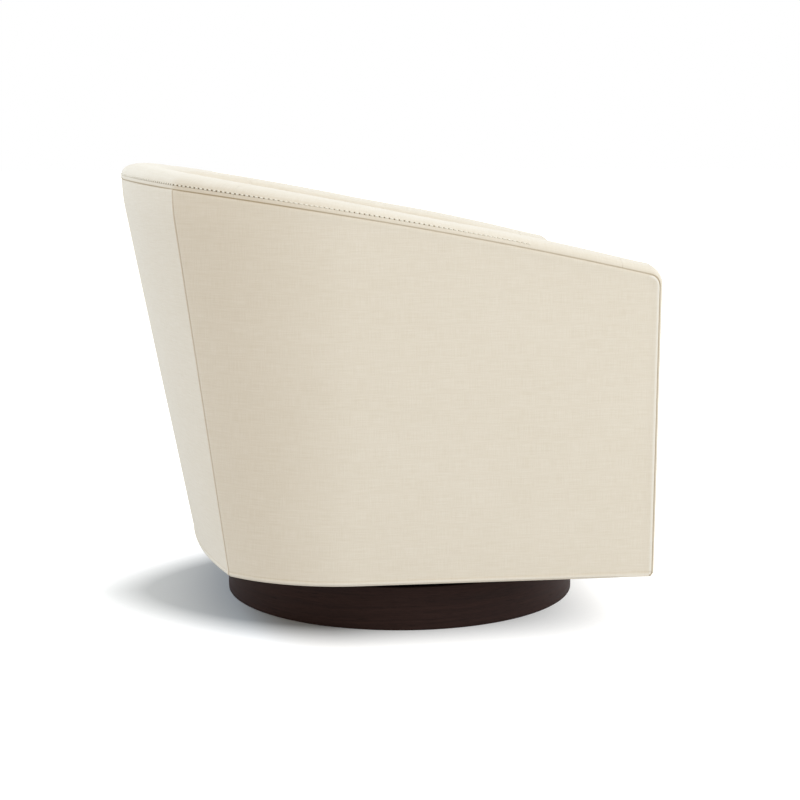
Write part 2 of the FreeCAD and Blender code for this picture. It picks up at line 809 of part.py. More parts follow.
def make_fixings(plate_low, plate_high):
    """Wood screws into the plinth board, and bolts up into tee nuts in the bearers."""
    screws, bolts, tees = [], [], []
    screw_head, screw_head_height, screw_length = 5, 2.5, 16
    bolt_head, bolt_head_height = 7, 5
    cloth = float(dims.cover) / 2
    bearer_top = float(plate_high) + cloth + float(dims.rail_height)
    tee_barrel, tee_depth, tee_flange, tee_sheet = 5.5, 12.0, 11.0, 1.5
    bolt_top = bearer_top + tee_sheet
    for number, (x, y) in enumerate(four_corners(float(dims.fixing_reach)), start=1):
        head_low = float(plate_low + dims.swivel_sheet)
        shank = primitive(
            "Part::Cylinder",
            f"screw_shank_{number}",
            Vector(x, y, head_low - screw_length),
            Radius=dims.screw_radius,
            Height=screw_length,
        )
        head = primitive(
            "Part::Cone",
            f"screw_head_{number}",
            Vector(x, y, head_low),
            Radius1=screw_head,
            Radius2=dims.screw_radius,
            Height=screw_head_height,
        )
        screws.append(fused(f"screw_{number}", [shank, head]))
        under = float(plate_high - dims.swivel_sheet)
        shank = primitive(
            "Part::Cylinder",
            f"bolt_shank_{number}",
            Vector(x, y, under),
            Radius=dims.bolt_radius,
            Height=bolt_top - under,
        )
        head = primitive(
            "Part::Prism",
            f"bolt_head_{number}",
            Vector(x, y, under - bolt_head_height),
            Circumradius=bolt_head,
            Height=bolt_head_height,
        )
        bolts.append(fused(f"bolt_{number}", [shank, head]))
        bore = float(dims.bolt_radius + dims.bolt_clearance)
        barrel = Part.makeCylinder(tee_barrel, tee_depth, Vector(x, y, bearer_top - tee_depth))
        flange = Part.makeCylinder(tee_flange, tee_sheet, Vector(x, y, bearer_top))
        hole = Part.makeCylinder(bore, tee_depth + tee_sheet, Vector(x, y, bearer_top - tee_depth))
        tees.append(barrel.fuse(flange).cut(hole).removeSplitter())
    group("lower_plate_screws", screws)
    group("upper_plate_bolts", bolts)
    shaped("tee_nuts", Part.makeCompound(tees))


# Hardwood and plywood frame


def make_bottom_frame():
    """Four bottom rails round the outline and two bearers that carry the swivel."""
    low = float(dims.body_bottom) + float(dims.cover) / 2
    high = low + float(dims.rail_height)
    gap, depth = float(dims.cover) + 0.5, float(dims.frame_depth)
    reach = float(dims.front_reach)
    outside = outer_block(gap, low, high, reach + 100)
    inside = outer_block(gap + depth, low, high, reach + 200)
    front_face = reach - 8
    room_for_front = Part.makeBox(2 * HALF_SPAN, 900, 900, Vector(-HALF_SPAN, -front_face, 0))
    hoop = outside.cut(inside).common(room_for_front)
    wedge = corner_wedge(low, high)
    shaped("bottom_rail_back", hoop.common(wedge))
    for name, side in SIDES:
        shaped(f"bottom_rail_{name}", hoop.cut(wedge).common(half_space(side)))

    inner_half = dims.side_half_bottom - dims.cover - dims.frame_depth - 2
    low_size = dims.body_bottom + dims.cover * 0.5
    high_size = low_size + dims.rail_height
    front = new_body("bottom_rail_front")
    pad_up(
        front,
        rectangle(-inner_half, -dims.front_reach + 8, inner_half, -dims.front_reach + 38),
        low_size,
        high_size,
    )
    for name, side in SIDES:
        bearer = new_body(f"swivel_bearer_{name}")
        near = dims.fixing_reach * side - dims.bearer_width * 0.5
        far = dims.fixing_reach * side + dims.bearer_width * 0.5
        pad_up(
            bearer,
            rectangle(near, -dims.front_reach + 38.5, far, BEARER_BACK),
            low_size,
            high_size,
        )
        holes = [(dims.fixing_reach * side, dims.fixing_reach), (dims.fixing_reach * side, -dims.fixing_reach)]
        drill(bearer, holes, 5.6, low_size, high_size)


BEARER_BACK = 284


def make_posts():
    """Four corner posts and two back posts, standing on the bottom rails."""
    low = float(dims.body_bottom) + float(dims.cover) / 2 + float(dims.rail_height)
    half = float(dims.post_size) / 2
    inset = float(dims.cover) + 1 + half
    under_rail = float(dims.rail_thickness) + float(dims.cover) + 2

    for name, side in SIDES:
        y = -float(dims.front_reach) + 8 + half
        top = rim_z(y - half) - under_rail
        low_x, high_x = (OuterOutline(level, inset).half for level in (low, top))
        lean_post(f"front_post_{name}", (low_x * side, y, low), (high_x * side, y, top))

        corner_inset = float(dims.cover) + 3 + half * math.sqrt(2)
        low_corner = OuterOutline(low, corner_inset).corner
        top = rim_z(OuterOutline(640, corner_inset).corner[1] - half) - under_rail
        high_corner = OuterOutline(top, corner_inset).corner
        lean_post(
            f"rear_post_{name}",
            (low_corner[0] * side, low_corner[1], low),
            (high_corner[0] * side, high_corner[1], top),
        )

        x = 150.0
        low_y = OuterOutline(low, inset + 4).back_y(x)
        top = rim_z(OuterOutline(640, inset).back_y(x) - half) - under_rail
        high_y = OuterOutline(top, inset + 4).back_y(x)
        lean_post(f"back_post_{name}", (x * side, low_y, low), (x * side, high_y, top))


def lean_post(label, foot, head):
    """A square post lofted between its foot and its head."""
    body = new_body(label)
    half = dims.post_size * 0.5
    sketches = []
    for name, (x, y, z) in (("foot", foot), ("head", head)):
        sketch = new_sketch(body, "XY_Plane", name, z)
        draw_polygon(sketch, rectangle(-half + x, -half + y, half + x, half + y))
        sketches.append(sketch)
    loft = body.newObject("PartDesign::AdditiveLoft", "post")
    loft.Profile = sketches[0]
    loft.Sections = sketches[1:]
    loft.Ruled = True
    doc.recompute()


def make_top_rails():
    """Plywood rails under the band, cut from one hoop at the back corners."""
    outer_gap = float(dims.cover) + float(dims.rail_setback)
    inner_gap = float(dims.cover) + float(dims.frame_depth) + 1
    reach = float(dims.front_reach)
    low, high = 400.0, float(dims.outline_top)
    outside = outer_block(outer_gap, low, high, reach + 100)
    inside = outer_block(inner_gap, low, high, reach + 200)
    drop = float(dims.cover)
    slice_of_rim = under_rim(drop, 300).cut(under_rim(drop + float(dims.rail_thickness), 200))
    behind_nose = Part.makeBox(2 * HALF_SPAN, 900, 900, Vector(-HALF_SPAN, -reach + 10, 0))
    rail_foot = rim_z(-reach) - drop - float(dims.rail_thickness)
    above_posts = Part.makeBox(2 * HALF_SPAN, 900, 400, Vector(-HALF_SPAN, -reach, rail_foot))
    hoop = outside.cut(inside).common(slice_of_rim).common(behind_nose).common(above_posts)
    wedge = corner_wedge(low, high)
    shaped("top_rail_back", hoop.common(wedge))
    for name, side in SIDES:
        shaped(f"arm_rail_{name}", hoop.cut(wedge).common(half_space(side)))


def make_seat_rails():
    """Rails that carry the seat springs, and the blocks that brace them."""
    high = dims.spring_level - dims.spring_wire * 0.5 - CLIP_SHEET
    low = high - 50
    inner = dims.room_half_bottom + 6
    outer = inner + dims.rail_thickness
    front = dims.front_reach - 50
    back = dims.room_back_bottom - 10
    thickness = dims.rail_thickness

    rail = new_body("seat_rail_front")
    pad_up(rail, rectangle(-inner, -front - thickness, inner, -front), low, high)
    rail = new_body("seat_rail_back")
    pad_up(rail, rectangle(-BACK_RAIL_HALF, back, BACK_RAIL_HALF, back + thickness), low, high)
    for name, side in SIDES:
        rail = new_body(f"seat_rail_{name}")
        points = [
            (inner * side, -front - thickness),
            (outer * side, -front - thickness),
            (outer * side, SIDE_RAIL_BEND),
            (BACK_RAIL_HALF * side, back + thickness),
            (BACK_RAIL_HALF * side, back),
            (inner * side, SIDE_RAIL_BEND - 12),
        ]
        pad_up(rail, points, low, high)

    blocks = []
    size = 70
    for number, (side, end) in enumerate([(1, -1), (-1, -1), (1, 1), (-1, 1)], start=1):
        if end < 0:
            corner = (float(inner) * side, -float(front))
            points = [corner, (corner[0] - size * side, corner[1]), (corner[0], corner[1] + size)]
        else:
            corner = (BACK_RAIL_HALF * side, float(back))
            dx, dy = float(inner) - BACK_RAIL_HALF, SIDE_RAIL_BEND - 12 - float(back)
            run = size / math.hypot(dx, dy)
            points = [
                corner,
                (corner[0] - size * side, corner[1]),
                (corner[0] + dx * run * side, corner[1] + dy * run),
            ]
        level = float(low) + 8
        outline = [Vector(x, y, level) for x, y in points]
        blocks.append(Part.Face(Part.makePolygon(outline + outline[:1])).extrude(Vector(0, 0, 32)))
    shaped("corner_blocks", Part.makeCompound(blocks))


BACK_RAIL_HALF = 215
SIDE_RAIL_BEND = 120
CLIP_SHEET = 1.6


# Zigzag springs, their clips, and the back webbing


def zigzag_wire(x, front, back, level):
    """The centre line of a zigzag spring: straight runs across, joined by round bends."""
    half, bend = float(dims.spring_half_width), float(dims.spring_bend)
    runs = int((back - front) / (2 * bend))
    start = front + ((back - front) - runs * 2 * bend) / 2
    edges = []
    side = -1
    y = start
    edges.append(Part.makeLine(Vector(x, y, level), Vector(x + side * (half - bend), y, level)))
    for number in range(runs):
        turn_x = x + side * (half - bend)
        first = Vector(turn_x, y, level)
        middle = Vector(turn_x + side * bend, y + bend, level)
        last = Vector(turn_x, y + 2 * bend, level)
        edges.append(Part.Arc(first, middle, last).toShape())
        y += 2 * bend
        side = -side
        end_x = x if number == runs - 1 else x + side * (half - bend)
        edges.append(Part.makeLine(Vector(turn_x, y, level), Vector(end_x, y, level)))
    return Part.Wire(edges), start, y


def make_springs():
    level = float(dims.spring_level)
    radius = float(dims.spring_wire) / 2
    front = -float(dims.front_reach) + 50 - 10
    back = float(dims.room_back_bottom) - 4
    clips = []
    for number in range(5):
        x = (number - 2) * float(dims.spring_pitch)
        path, first_y, last_y = zigzag_wire(x, front, back, level)
        profile = Part.Wire(Part.makeCircle(radius, Vector(x, first_y, level), Vector(1, 0, 0)))
        spring = path.makePipeShell([profile], True, False)
        expected = math.pi * radius**2 * path.Length
        if abs(spring.Volume - expected) > 0.02 * expected:
            raise RuntimeError(f"seat spring {number + 1} has the wrong volume")
        shaped(f"seat_spring_{number + 1}", spring)
        for y in (first_y, last_y):
            under = level - radius - CLIP_SHEET
            plate = Part.makeBox(16, 11, CLIP_SHEET, Vector(x - 8, y - 5.5, under))
            lip = Part.makeBox(16, 11, CLIP_SHEET, Vector(x - 8, y - 5.5, level + radius))
            web_y = y - 5.5 if y == first_y else y + 5.5 - CLIP_SHEET
            web_height = 2 * radius + 2 * CLIP_SHEET
            web = Part.makeBox(16, CLIP_SHEET, web_height, Vector(x - 8, web_y, under))
            clips.append(plate.fuse(lip).fuse(web).removeSplitter())
    shaped("spring_clips", Part.makeCompound(clips))

    straps = []
    foot, head = 250.0, 600.0
    inset = float(dims.cover) + float(dims.post_size) + 8
    for number in range(3):
        x = (number - 1) * float(dims.strap_pitch)
        low_y, high_y = (OuterOutline(level, inset).back_y(abs(x)) for level in (foot, head))
        tilt = math.degrees(math.atan2(high_y - low_y, head - foot))
        straps.append(
            primitive(
                "Part::Box",
                f"strap_{number + 1}",
                Vector(x - float(dims.strap_width) / 2, low_y, foot),
                Rotation(Vector(1, 0, 0), -tilt),
                Length=dims.strap_width,
                Width=dims.strap_thickness,
                Height=head - foot,
            )
        )
    group("back_webbing", straps)


# Padding and covers


def inside_split(level_low=0.0):
    """Everything in front of the leaning seam between inside arm and inside back."""
    deck, top = float(dims.deck_level), float(dims.outline_top)
    slope = (float(dims.room_back_top) - float(dims.room_back_bottom)) / (top - deck)
    seam = float(dims.inside_seam_reach)

    def at(y, z):
        return Vector(-HALF_SPAN, y, z)

    points = [
        at(-HALF_SPAN, level_low),
        at(seam + slope * (level_low - deck), level_low),
        at(seam + slope * (900 - deck), 900),
        at(-HALF_SPAN, 900),
    ]
    face = Part.Face(Part.makePolygon(points + points[:1]))
    return face.extrude(Vector(2 * HALF_SPAN, 0, 0))


def make_inside_padding():
    low, high = float(dims.deck_level) - 70, float(dims.outline_top)
    reach = float(dims.front_reach)
    skin = 2.0
    behind_frame = float(dims.cover) + float(dims.frame_depth) + 4
    outside = outer_block(behind_frame, low, high, reach)
    rim = under_rim(float(dims.seam_gap), low)
    front_of_seam = inside_split()
    room = room_block(0, low, high, reach + 100)
    lined_room = room_block(skin, low, high, reach + 100)
    above_seat_rails = Part.makeBox(2 * HALF_SPAN, 900, 700, Vector(-HALF_SPAN, -reach, low + 44))
    pad = outside.cut(lined_room).common(rim).common(above_seat_rails)
    lining = lined_room.cut(room).common(rim).common(above_seat_rails)
    shaped("inside_back_pad", pad.cut(front_of_seam))
    shaped("inside_back_cover", lining.cut(front_of_seam))
    for name, side in SIDES:
        half = half_space(side)
        shaped(f"inside_arm_pad_{name}", pad.common(front_of_seam).common(half))
        shaped(f"inside_arm_cover_{name}", lining.common(front_of_seam).common(half))


def make_outside_covers():
    """Back and side panels that meet at the corner seams, and the piping under them."""
    low, high = float(dims.body_bottom), float(dims.outline_top)
    reach = float(dims.front_reach)
    shell = outer_block(0, low, high, reach + 50).cut(
        outer_block(float(dims.cover), low - 10, high + 10, reach + 90)
    )
    shell = shell.common(under_rim(float(dims.seam_gap), low - 20))
    wedge = corner_wedge(low - 10, high + 10)
    shaped("outside_back_cover", shell.common(wedge))
    for name, side in SIDES:
        shaped(f"outside_arm_cover_{name}", shell.cut(wedge).common(half_space(side)))

    radius = float(dims.welt_radius)
    outline = OuterOutline(low - radius, radius + 0.5)
    h, s = outline.half, outline.curve_start
    cx, cy = outline.corner
    z = low - radius
    mid_y = (s + cy) / 2
    mid_x = outline.side_x(mid_y)
    back = Part.Arc(Vector(cx, cy, z), Vector(0, outline.back, z), Vector(-cx, cy, z)).toShape()
    welts = [pipe_along([back], Vector(cx, cy, z), radius)]
    for side in (1, -1):
        line = Part.makeLine(Vector(h * side, -reach + 4, z), Vector(h * side, s, z))
        arc = Part.Arc(
            Vector(h * side, s, z), Vector(mid_x * side, mid_y, z), Vector(cx * side, cy, z)
        ).toShape()
        welts.append(pipe_along([line, arc], Vector(h * side, -reach + 4, z), radius))
    shaped("bottom_welt", Part.makeCompound(welts))


def pipe_along(edges, start, radius):
    """A round cord along tangent edges, capped at both ends."""
    path = Part.Wire(edges)
    direction = edges[0].tangentAt(edges[0].FirstParameter)
    if (edges[0].valueAt(edges[0].FirstParameter) - start).Length > 1e-6:
        direction = edges[0].tangentAt(edges[0].LastParameter)
    profile = Part.Wire(Part.makeCircle(radius, start, direction))
    return path.makePipeShell([profile], True, False)


def band_section(outer, inner, crown):
    """A band section: flat below, one crowned arc above, from the outer to the inner seam."""
    top = (outer + inner) * 0.5 + crown
    return Part.Wire([Part.makeLine(inner, outer), Part.Arc(outer, top, inner).toShape()])


def level_at(outline_kind, find_y):
    """The level and distance behind the axis where an outline point meets the rim."""
    z = float(dims.rim_middle_height)
    for _ in range(8):
        y = find_y(outline_kind(z))
        z = rim_z(y)
    return y, z


def make_bands():
    """The padded band: a piece round the back and its corners, and one down each arm."""
    crown_arm, crown_back = float(dims.crown_arm), float(dims.crown_back)
    crown_corner = float(dims.crown_corner)
    crown_front = float(dims.crown_front)
    reach = float(dims.front_reach)
    seam = float(dims.band_seam_reach)
    straight = float(dims.band_straight_reach)

    corner_y, corner_z = level_at(OuterOutline, lambda o: o.corner[1])
    corner_x = OuterOutline(corner_z).corner[0]
    inner_turn = 47.0
    room_y, room_z = level_at(RoomOutline, lambda o: o.corner_point(inner_turn)[1])
    room_x = RoomOutline(room_z).corner_point(inner_turn)[0]

    def side_section(side, outer_y):
        """A section past the corner; its inner end draws level where the arm runs straight."""
        share = (corner_y - outer_y) / (corner_y - straight)
        inner_y = mix(room_y, straight, share)
        outer_z, inner_z = rim_z(outer_y), rim_z(inner_y)
        return band_section(
            Vector(OuterOutline(outer_z).side_x(outer_y) * side, outer_y, outer_z),
            Vector(RoomOutline(inner_z).side_x(inner_y) * side, inner_y, inner_z),
            Vector(0, 0, mix(crown_corner, crown_arm, share)),
        )

    past_corner = [mix(corner_y, seam, number / 5) for number in range(1, 6)]
    sections = [side_section(-1, y) for y in reversed(past_corner)]
    for number in range(-8, 9):
        share = number / 8
        outer_x, inner_x = corner_x * share, room_x * share
        outer_y, outer_z = level_at(OuterOutline, lambda o: o.back_y(outer_x))
        inner_y, inner_z = level_at(RoomOutline, lambda o: o.back_y(inner_x))
        crown = mix(crown_back, crown_corner, share * share)
        sections.append(
            band_section(
                Vector(outer_x, outer_y, outer_z),
                Vector(inner_x, inner_y, inner_z),
                Vector(0, 0, crown),
            )
        )
    sections += [side_section(1, y) for y in past_corner]
    shaped("back_band", outward(Part.makeLoft(sections, True, True)))

    for name, side in SIDES:
        sections = [side_section(side, mix(seam, straight, number / 9)) for number in range(10)]
        for y in (-20.0, -80.0, -140.0, -200.0, -265.0):
            sections.append(front_section(side, y, rim_z(y), Vector(0, 0, crown_arm)))
        for angle in range(0, 91, 15):
            (y, z), turn = nose_point(angle)
            crown = mix(crown_arm, crown_front, angle / 90)
            direction = Vector(0, -math.sin(turn), math.cos(turn))
            sections.append(front_section(side, y, z, direction * crown))
        for z in (490.0, 400.0, 300.0, 200.0, float(dims.body_bottom)):
            sections.append(front_section(side, -reach, z, Vector(0, -crown_front, 0)))
        shaped(f"arm_band_{name}", outward(Part.makeLoft(sections, True, True)))


def outward(solid):
    """The same solid with its faces turned outwards."""
    return solid.reversed() if solid.Volume < 0 else solid


def front_section(side, y, z, crown):
    """A band section straight across the arm."""
    outer = Vector(OuterOutline(z).half * side, y, z)
    inner = Vector(RoomOutline(z).half * side, y, z)
    return band_section(outer, inner, crown)


def make_front_and_deck():
    """Front rail cover, seat deck padding, and the dust cover under the body."""
    low = dims.body_bottom
    half = dims.room_half_bottom - 8
    panel = new_body("front_rail_cover")
    face = dims.front_reach - 2
    pad_up(
        panel,
        rectangle(-half, -face, half, -face + dims.cover * 2),
        low,
        dims.deck_level - 2,
    )
    ease(panel, dims.edge_ease, lambda edge: edge.BoundBox.XLength > 500 and edge.BoundBox.YMin < -float(face) + 1)

    pad_low = float(dims.deck_level) - float(dims.deck_pad)
    wires = [
        RoomOutline(level, -3).wire(float(dims.front_reach) - 12)
        for level in (pad_low, float(dims.deck_level) - 1)
    ]
    shaped("deck_pad", Part.makeLoft(wires, True, True))

    cloth = float(dims.cover) / 2
    sheet_outline = OuterOutline(float(low), 6).wire(float(dims.front_reach) - 14)
    dust = Part.Face(sheet_outline).extrude(Vector(0, 0, cloth))
    holes = [Part.makeCylinder(float(dims.bush_radius) + 4, 10, Vector(0, 0, float(low) - 5))]
    for x, y in four_corners(float(dims.fixing_reach)):
        hole = float(dims.bolt_radius + dims.bolt_clearance)
        holes.append(Part.makeCylinder(hole, 10, Vector(x, y, float(low) - 5)))
    shaped("dust_cover", dust.cut(Part.makeCompound(holes)))


CUSHION_LEVELS = [
    (0.0, 16.0),
    (0.05, 6.0),
    (0.2, 1.0),
    (0.45, 0.0),
    (0.62, 1.5),
    (0.74, 5.0),
    (0.83, 13.0),
    (0.9, 27.0),
    (0.95, 49.0),
    (0.985, 88.0),
    (1.0, 135.0),
]


def cushion_solid(inset):
    """The crowned seat cushion: share of its height, and how far its side draws in there."""
    base = float(dims.deck_level) + inset
    height = float(dims.cushion_height) - 2 * inset
    gap = float(dims.cushion_gap) + inset
    wires = []
    for share, drawn in CUSHION_LEVELS:
        level = base + height * share
        outline = RoomOutline(float(dims.deck_level) + height * min(share, 0.5), -gap - drawn)
        corner = max(float(dims.cushion_corner) - 0.6 * min(drawn, 20.0), 12.0)
        front = float(dims.cushion_front) - drawn - inset
        wires.append(outline.wire(front, corner, level))
    return Part.makeLoft(wires, True, True)


def make_cushion():
    whole = cushion_solid(0.0)
    core = cushion_solid(2.5)
    shaped("seat_cushion_core", core)
    shaped("seat_cushion_cover", whole.cut(core))


def check_and_write():
    """Stops on a failed feature or a bad shape, then writes one STEP file per sub-part."""
    doc.recompute()
    wrong = [
        f"{feature.Label} is {state}"
        for feature in doc.Objects
        for state in ("Invalid", "Error")
        if state in feature.State
    ]
    for feature in subparts:
        shape = feature.Shape
        if shape.isNull() or not shape.isValid() or not shape.Solids:
            wrong.append(f"{feature.Label} has no valid solid")
    if wrong:
        raise RuntimeError("; ".join(wrong))
    os.makedirs("parts", exist_ok=True)
    for feature in subparts:
        feature.Shape.exportStep(f"parts/{feature.Label}.step")
    print(f"{len(subparts)} sub-parts written")


make_plinth()
make_swivel()
make_bottom_frame()
make_posts()
make_top_rails()
make_seat_rails()
make_springs()
make_inside_padding()
make_outside_covers()
make_bands()
make_front_and_deck()
make_cushion()
check_and_write()
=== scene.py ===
import json
import math

import bmesh
import bpy
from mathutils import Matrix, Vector, noise
from mathutils.bvhtree import BVHTree
from mathutils.kdtree import KDTree


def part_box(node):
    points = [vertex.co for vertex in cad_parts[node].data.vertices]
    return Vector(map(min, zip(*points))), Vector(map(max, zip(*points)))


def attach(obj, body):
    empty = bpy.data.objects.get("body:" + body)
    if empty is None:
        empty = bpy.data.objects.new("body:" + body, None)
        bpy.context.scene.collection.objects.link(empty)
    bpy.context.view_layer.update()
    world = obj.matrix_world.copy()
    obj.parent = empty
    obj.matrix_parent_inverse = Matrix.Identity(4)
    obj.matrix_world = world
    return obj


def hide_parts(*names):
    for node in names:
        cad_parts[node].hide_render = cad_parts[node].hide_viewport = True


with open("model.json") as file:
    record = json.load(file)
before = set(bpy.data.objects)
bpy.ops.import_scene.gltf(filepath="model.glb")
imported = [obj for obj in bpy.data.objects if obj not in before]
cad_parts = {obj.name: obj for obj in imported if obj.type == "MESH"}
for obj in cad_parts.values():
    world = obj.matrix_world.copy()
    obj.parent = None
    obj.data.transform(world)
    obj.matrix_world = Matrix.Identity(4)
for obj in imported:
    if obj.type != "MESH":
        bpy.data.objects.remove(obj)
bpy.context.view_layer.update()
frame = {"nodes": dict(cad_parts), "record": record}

nodes = frame["nodes"]

# The chair stands on z = 0, the sitter faces -Y, and X runs across it. Everything is in metres.
# A pair of values is one at the body's bottom edge (or the deck) and one at the upper outline.

shell = {
    "bottom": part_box("outside_back_cover")[0].z,
    "top": 0.700,
    "half": (0.398, 0.408),
    "back": (0.341, 0.454),
    "cornerX": (0.320, 0.325),
    "cornerY": (0.291, 0.370),
    "curveStart": (0.110, 0.120),
    "front": -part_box("outside_arm_cover_left")[0].y + 0.001,  # the panels stop a millimetre short of the seam
    "thickness": 0.003,
    "toe": 0.0045,
    "tuck": 0.0050,  # how far the back's top edge is pulled in by its seam
    "tuckHeight": 0.045,
}
room = {
    "deck": 0.315,
    "half": (0.310, 0.320),
    "back": (0.241, 0.364),
    "corner": 0.150,
    "backRadius": 0.900,
    "seam": 0.095,
    "cornerTurn": 47.0,
}
rim = {
    "front": (-0.290, 0.548),
    "middle": (0.080, 0.621),
    "rear": (0.449, 0.674),
    "nose": 0.017,
    "crownArm": 0.016,
    "crownBack": 0.027,
    "crownCorner": 0.024,
    "crownNose": 0.0135,
    "crownFront": 0.007,
}


def mix(low, high, share):
    return low + (high - low) * share


def smooth(low, high, value):
    share = min(max((value - low) / (high - low), 0.0), 1.0)
    return share * share * (3 - 2 * share)


def circleThrough(p, q, r):
    ax, ay, bx, by = q[0] - p[0], q[1] - p[1], r[0] - p[0], r[1] - p[1]
    area = 2 * (ax * by - ay * bx)
    sa, sb = ax * ax + ay * ay, bx * bx + by * by
    cx = p[0] + (by * sa - ay * sb) / area
    cy = p[1] + (ax * sb - bx * sa) / area
    return (cx, cy), math.hypot(cx - p[0], cy - p[1])


rimCentre, rimRadius = circleThrough(rim["front"], rim["middle"], rim["rear"])
noseY = rim["nose"] - shell["front"]
noseZ = rimCentre[1] + math.sqrt((rimRadius - rim["nose"]) ** 2 - (noseY - rimCentre[0]) ** 2)
noseStart = math.atan2(noseY - rimCentre[0], noseZ - rimCentre[1])  # turn of the rim where the nose begins


def rimHeight(y):
    return rimCentre[1] + math.sqrt(rimRadius**2 - (y - rimCentre[0]) ** 2)


def seamHeight(y):
    # the rim seam, with the nose that rounds it down at the front
    if y >= noseY + rim["nose"] * math.sin(noseStart):
        return rimHeight(y)
    return noseZ + math.sqrt(max(rim["nose"] ** 2 - (y - noseY) ** 2, 0.0))


def outerOutline(z):
    share = (z - shell["bottom"]) / (shell["top"] - shell["bottom"])
    half, back, cx, cy, start = (
        mix(*shell[key], share) for key in ("half", "back", "cornerX", "cornerY", "curveStart")
    )
    sideRadius = ((half - cx) ** 2 + (cy - start) ** 2) / (2 * (half - cx))
    backCentre, backRadius = circleThrough((-cx, cy), (0, back), (cx, cy))
    return {
        "half": half,
        "corner": (cx, cy),
        "start": start,
        "sideCentre": half - sideRadius,
        "sideRadius": sideRadius,
        "backCentre": backCentre[1],
        "backRadius": backRadius,
    }


def outerSide(y, z):
    o = outerOutline(z)
    if y <= o["start"]:
        return o["half"]
    return o["sideCentre"] + math.sqrt(o["sideRadius"] ** 2 - (y - o["start"]) ** 2)


def outerBack(x, z):
    o = outerOutline(z)
    return o["backCentre"] + math.sqrt(o["backRadius"] ** 2 - x * x)


def roomOutline(z):
    share = (z - room["deck"]) / (shell["top"] - room["deck"])
    half, back = (mix(*room[key], share) for key in ("half", "back"))
    corner, sweep = room["corner"], room["backRadius"]
    rise = math.sqrt((sweep - corner) ** 2 - (half - corner) ** 2)
    return {
        "half": half,
        "back": back,
        "centre": (half - corner, back - sweep + rise),
        "backCentre": back - sweep,
        "join": (half - corner) * sweep / (sweep - corner),
    }


def roomSide(y, z):
    o = roomOutline(z)
    rise = y - o["centre"][1]
    if rise <= 0:
        return o["half"]
    return o["centre"][0] + math.sqrt(max(room["corner"] ** 2 - rise * rise, 0.0))


def roomBack(x, z):
    o = roomOutline(z)
    if abs(x) <= o["join"]:
        return o["backCentre"] + math.sqrt(room["backRadius"] ** 2 - x * x)
    side = abs(x) - o["centre"][0]
    return o["centre"][1] + math.sqrt(max(room["corner"] ** 2 - side * side, 0.0))


def roomPoint(z, share, grow=0.0):
    # a point of the room's outline, from the middle of the back (0) round to the arm's front (1), and its length
    o = roomOutline(z)
    sweep, corner = room["backRadius"] + grow, room["corner"] + grow
    joinTurn = math.asin(o["join"] / room["backRadius"])
    lengths = (sweep * joinTurn, corner * (math.pi / 2 - joinTurn), o["centre"][1] + shell["front"])
    along = share * sum(lengths)
    if along <= lengths[0]:
        turn = along / sweep
        return Vector((sweep * math.sin(turn), o["backCentre"] + sweep * math.cos(turn), z)), along
    if along <= lengths[0] + lengths[1]:
        turn = joinTurn + (along - lengths[0]) / corner
        cx, cy = o["centre"]
        return Vector((cx + corner * math.sin(turn), cy + corner * math.cos(turn), z)), along
    rest = along - lengths[0] - lengths[1]
    return Vector((o["half"] + grow, o["centre"][1] - rest, z)), along


def tuckAt(y, below=0.0):
    # the pull towards the rim seam round the back, and how it fades below the seam
    fade = max(1 - below / shell["tuckHeight"], 0.0)
    return shell["tuck"] * smooth(0.15, 0.36, y) * fade * fade


def levelOnRim(findY):
    # where a leaning line of an outline meets the rim
    z = rim["middle"][1]
    for _ in range(12):
        y = findY(z)
        z = seamHeight(y)
    return y, z


def spacing(length, edge=(0, 0.0012, 0.0024, 0.0036, 0.005, 0.0068, 0.009, 0.012, 0.017, 0.024), step=0.008):
    # shares of a length, close together beside the seams at both ends
    count = max(int((length - 2 * edge[-1]) / step), 2)
    middle = [edge[-1] + (length - 2 * edge[-1]) * i / count for i in range(1, count)]
    return [d / length for d in [*edge, *middle, *(length - e for e in reversed(edge))]]


# Mesh making


def placed(name, data):
    # a new object for a mesh, curve, lamp or camera, put into the scene
    thing = bpy.data.objects.new(name, data)
    bpy.context.scene.collection.objects.link(thing)
    return thing


def plainPiece(name, corners, faces, material):
    mesh = bpy.data.meshes.new(name)
    mesh.from_pydata(corners, [], faces)
    mesh.materials.append(material)
    return placed(name, mesh)


def meshPiece(name, vertices, faces, uvs, seams, material):
    # a mesh from points; uvs are cloth coordinates in metres, one for each point
    mesh = bpy.data.meshes.new(name)
    mesh.from_pydata([tuple(v) for v in vertices], [], faces)
    layer = mesh.uv_layers.new(name="weave")
    for loop in mesh.loops:
        layer.data[loop.index].uv = uvs[loop.vertex_index]
    shade = mesh.attributes.new("seamShade", "FLOAT", "POINT")
    shade.data.foreach_set("value", seams)
    mesh.polygons.foreach_set("use_smooth", [True] * len(mesh.polygons))
    mesh.update()
    mesh.materials.append(material)
    return placed(name, mesh)


def faceOutwards(piece):
    mesh = bmesh.new()
    mesh.from_mesh(piece.data)
    bmesh.ops.recalc_face_normals(mesh, faces=mesh.faces)
    mesh.to_mesh(piece.data)
    mesh.free()
    return piece


def bakeModifiers(piece):
    # turns a piece and its modifiers into one plain mesh
    depsgraph = bpy.context.evaluated_depsgraph_get()
    finished = bpy.data.meshes.new_from_object(
        piece.evaluated_get(depsgraph), preserve_all_data_layers=True, depsgraph=depsgraph
    )
    piece.modifiers.clear()
    piece.data = finished
    return piece


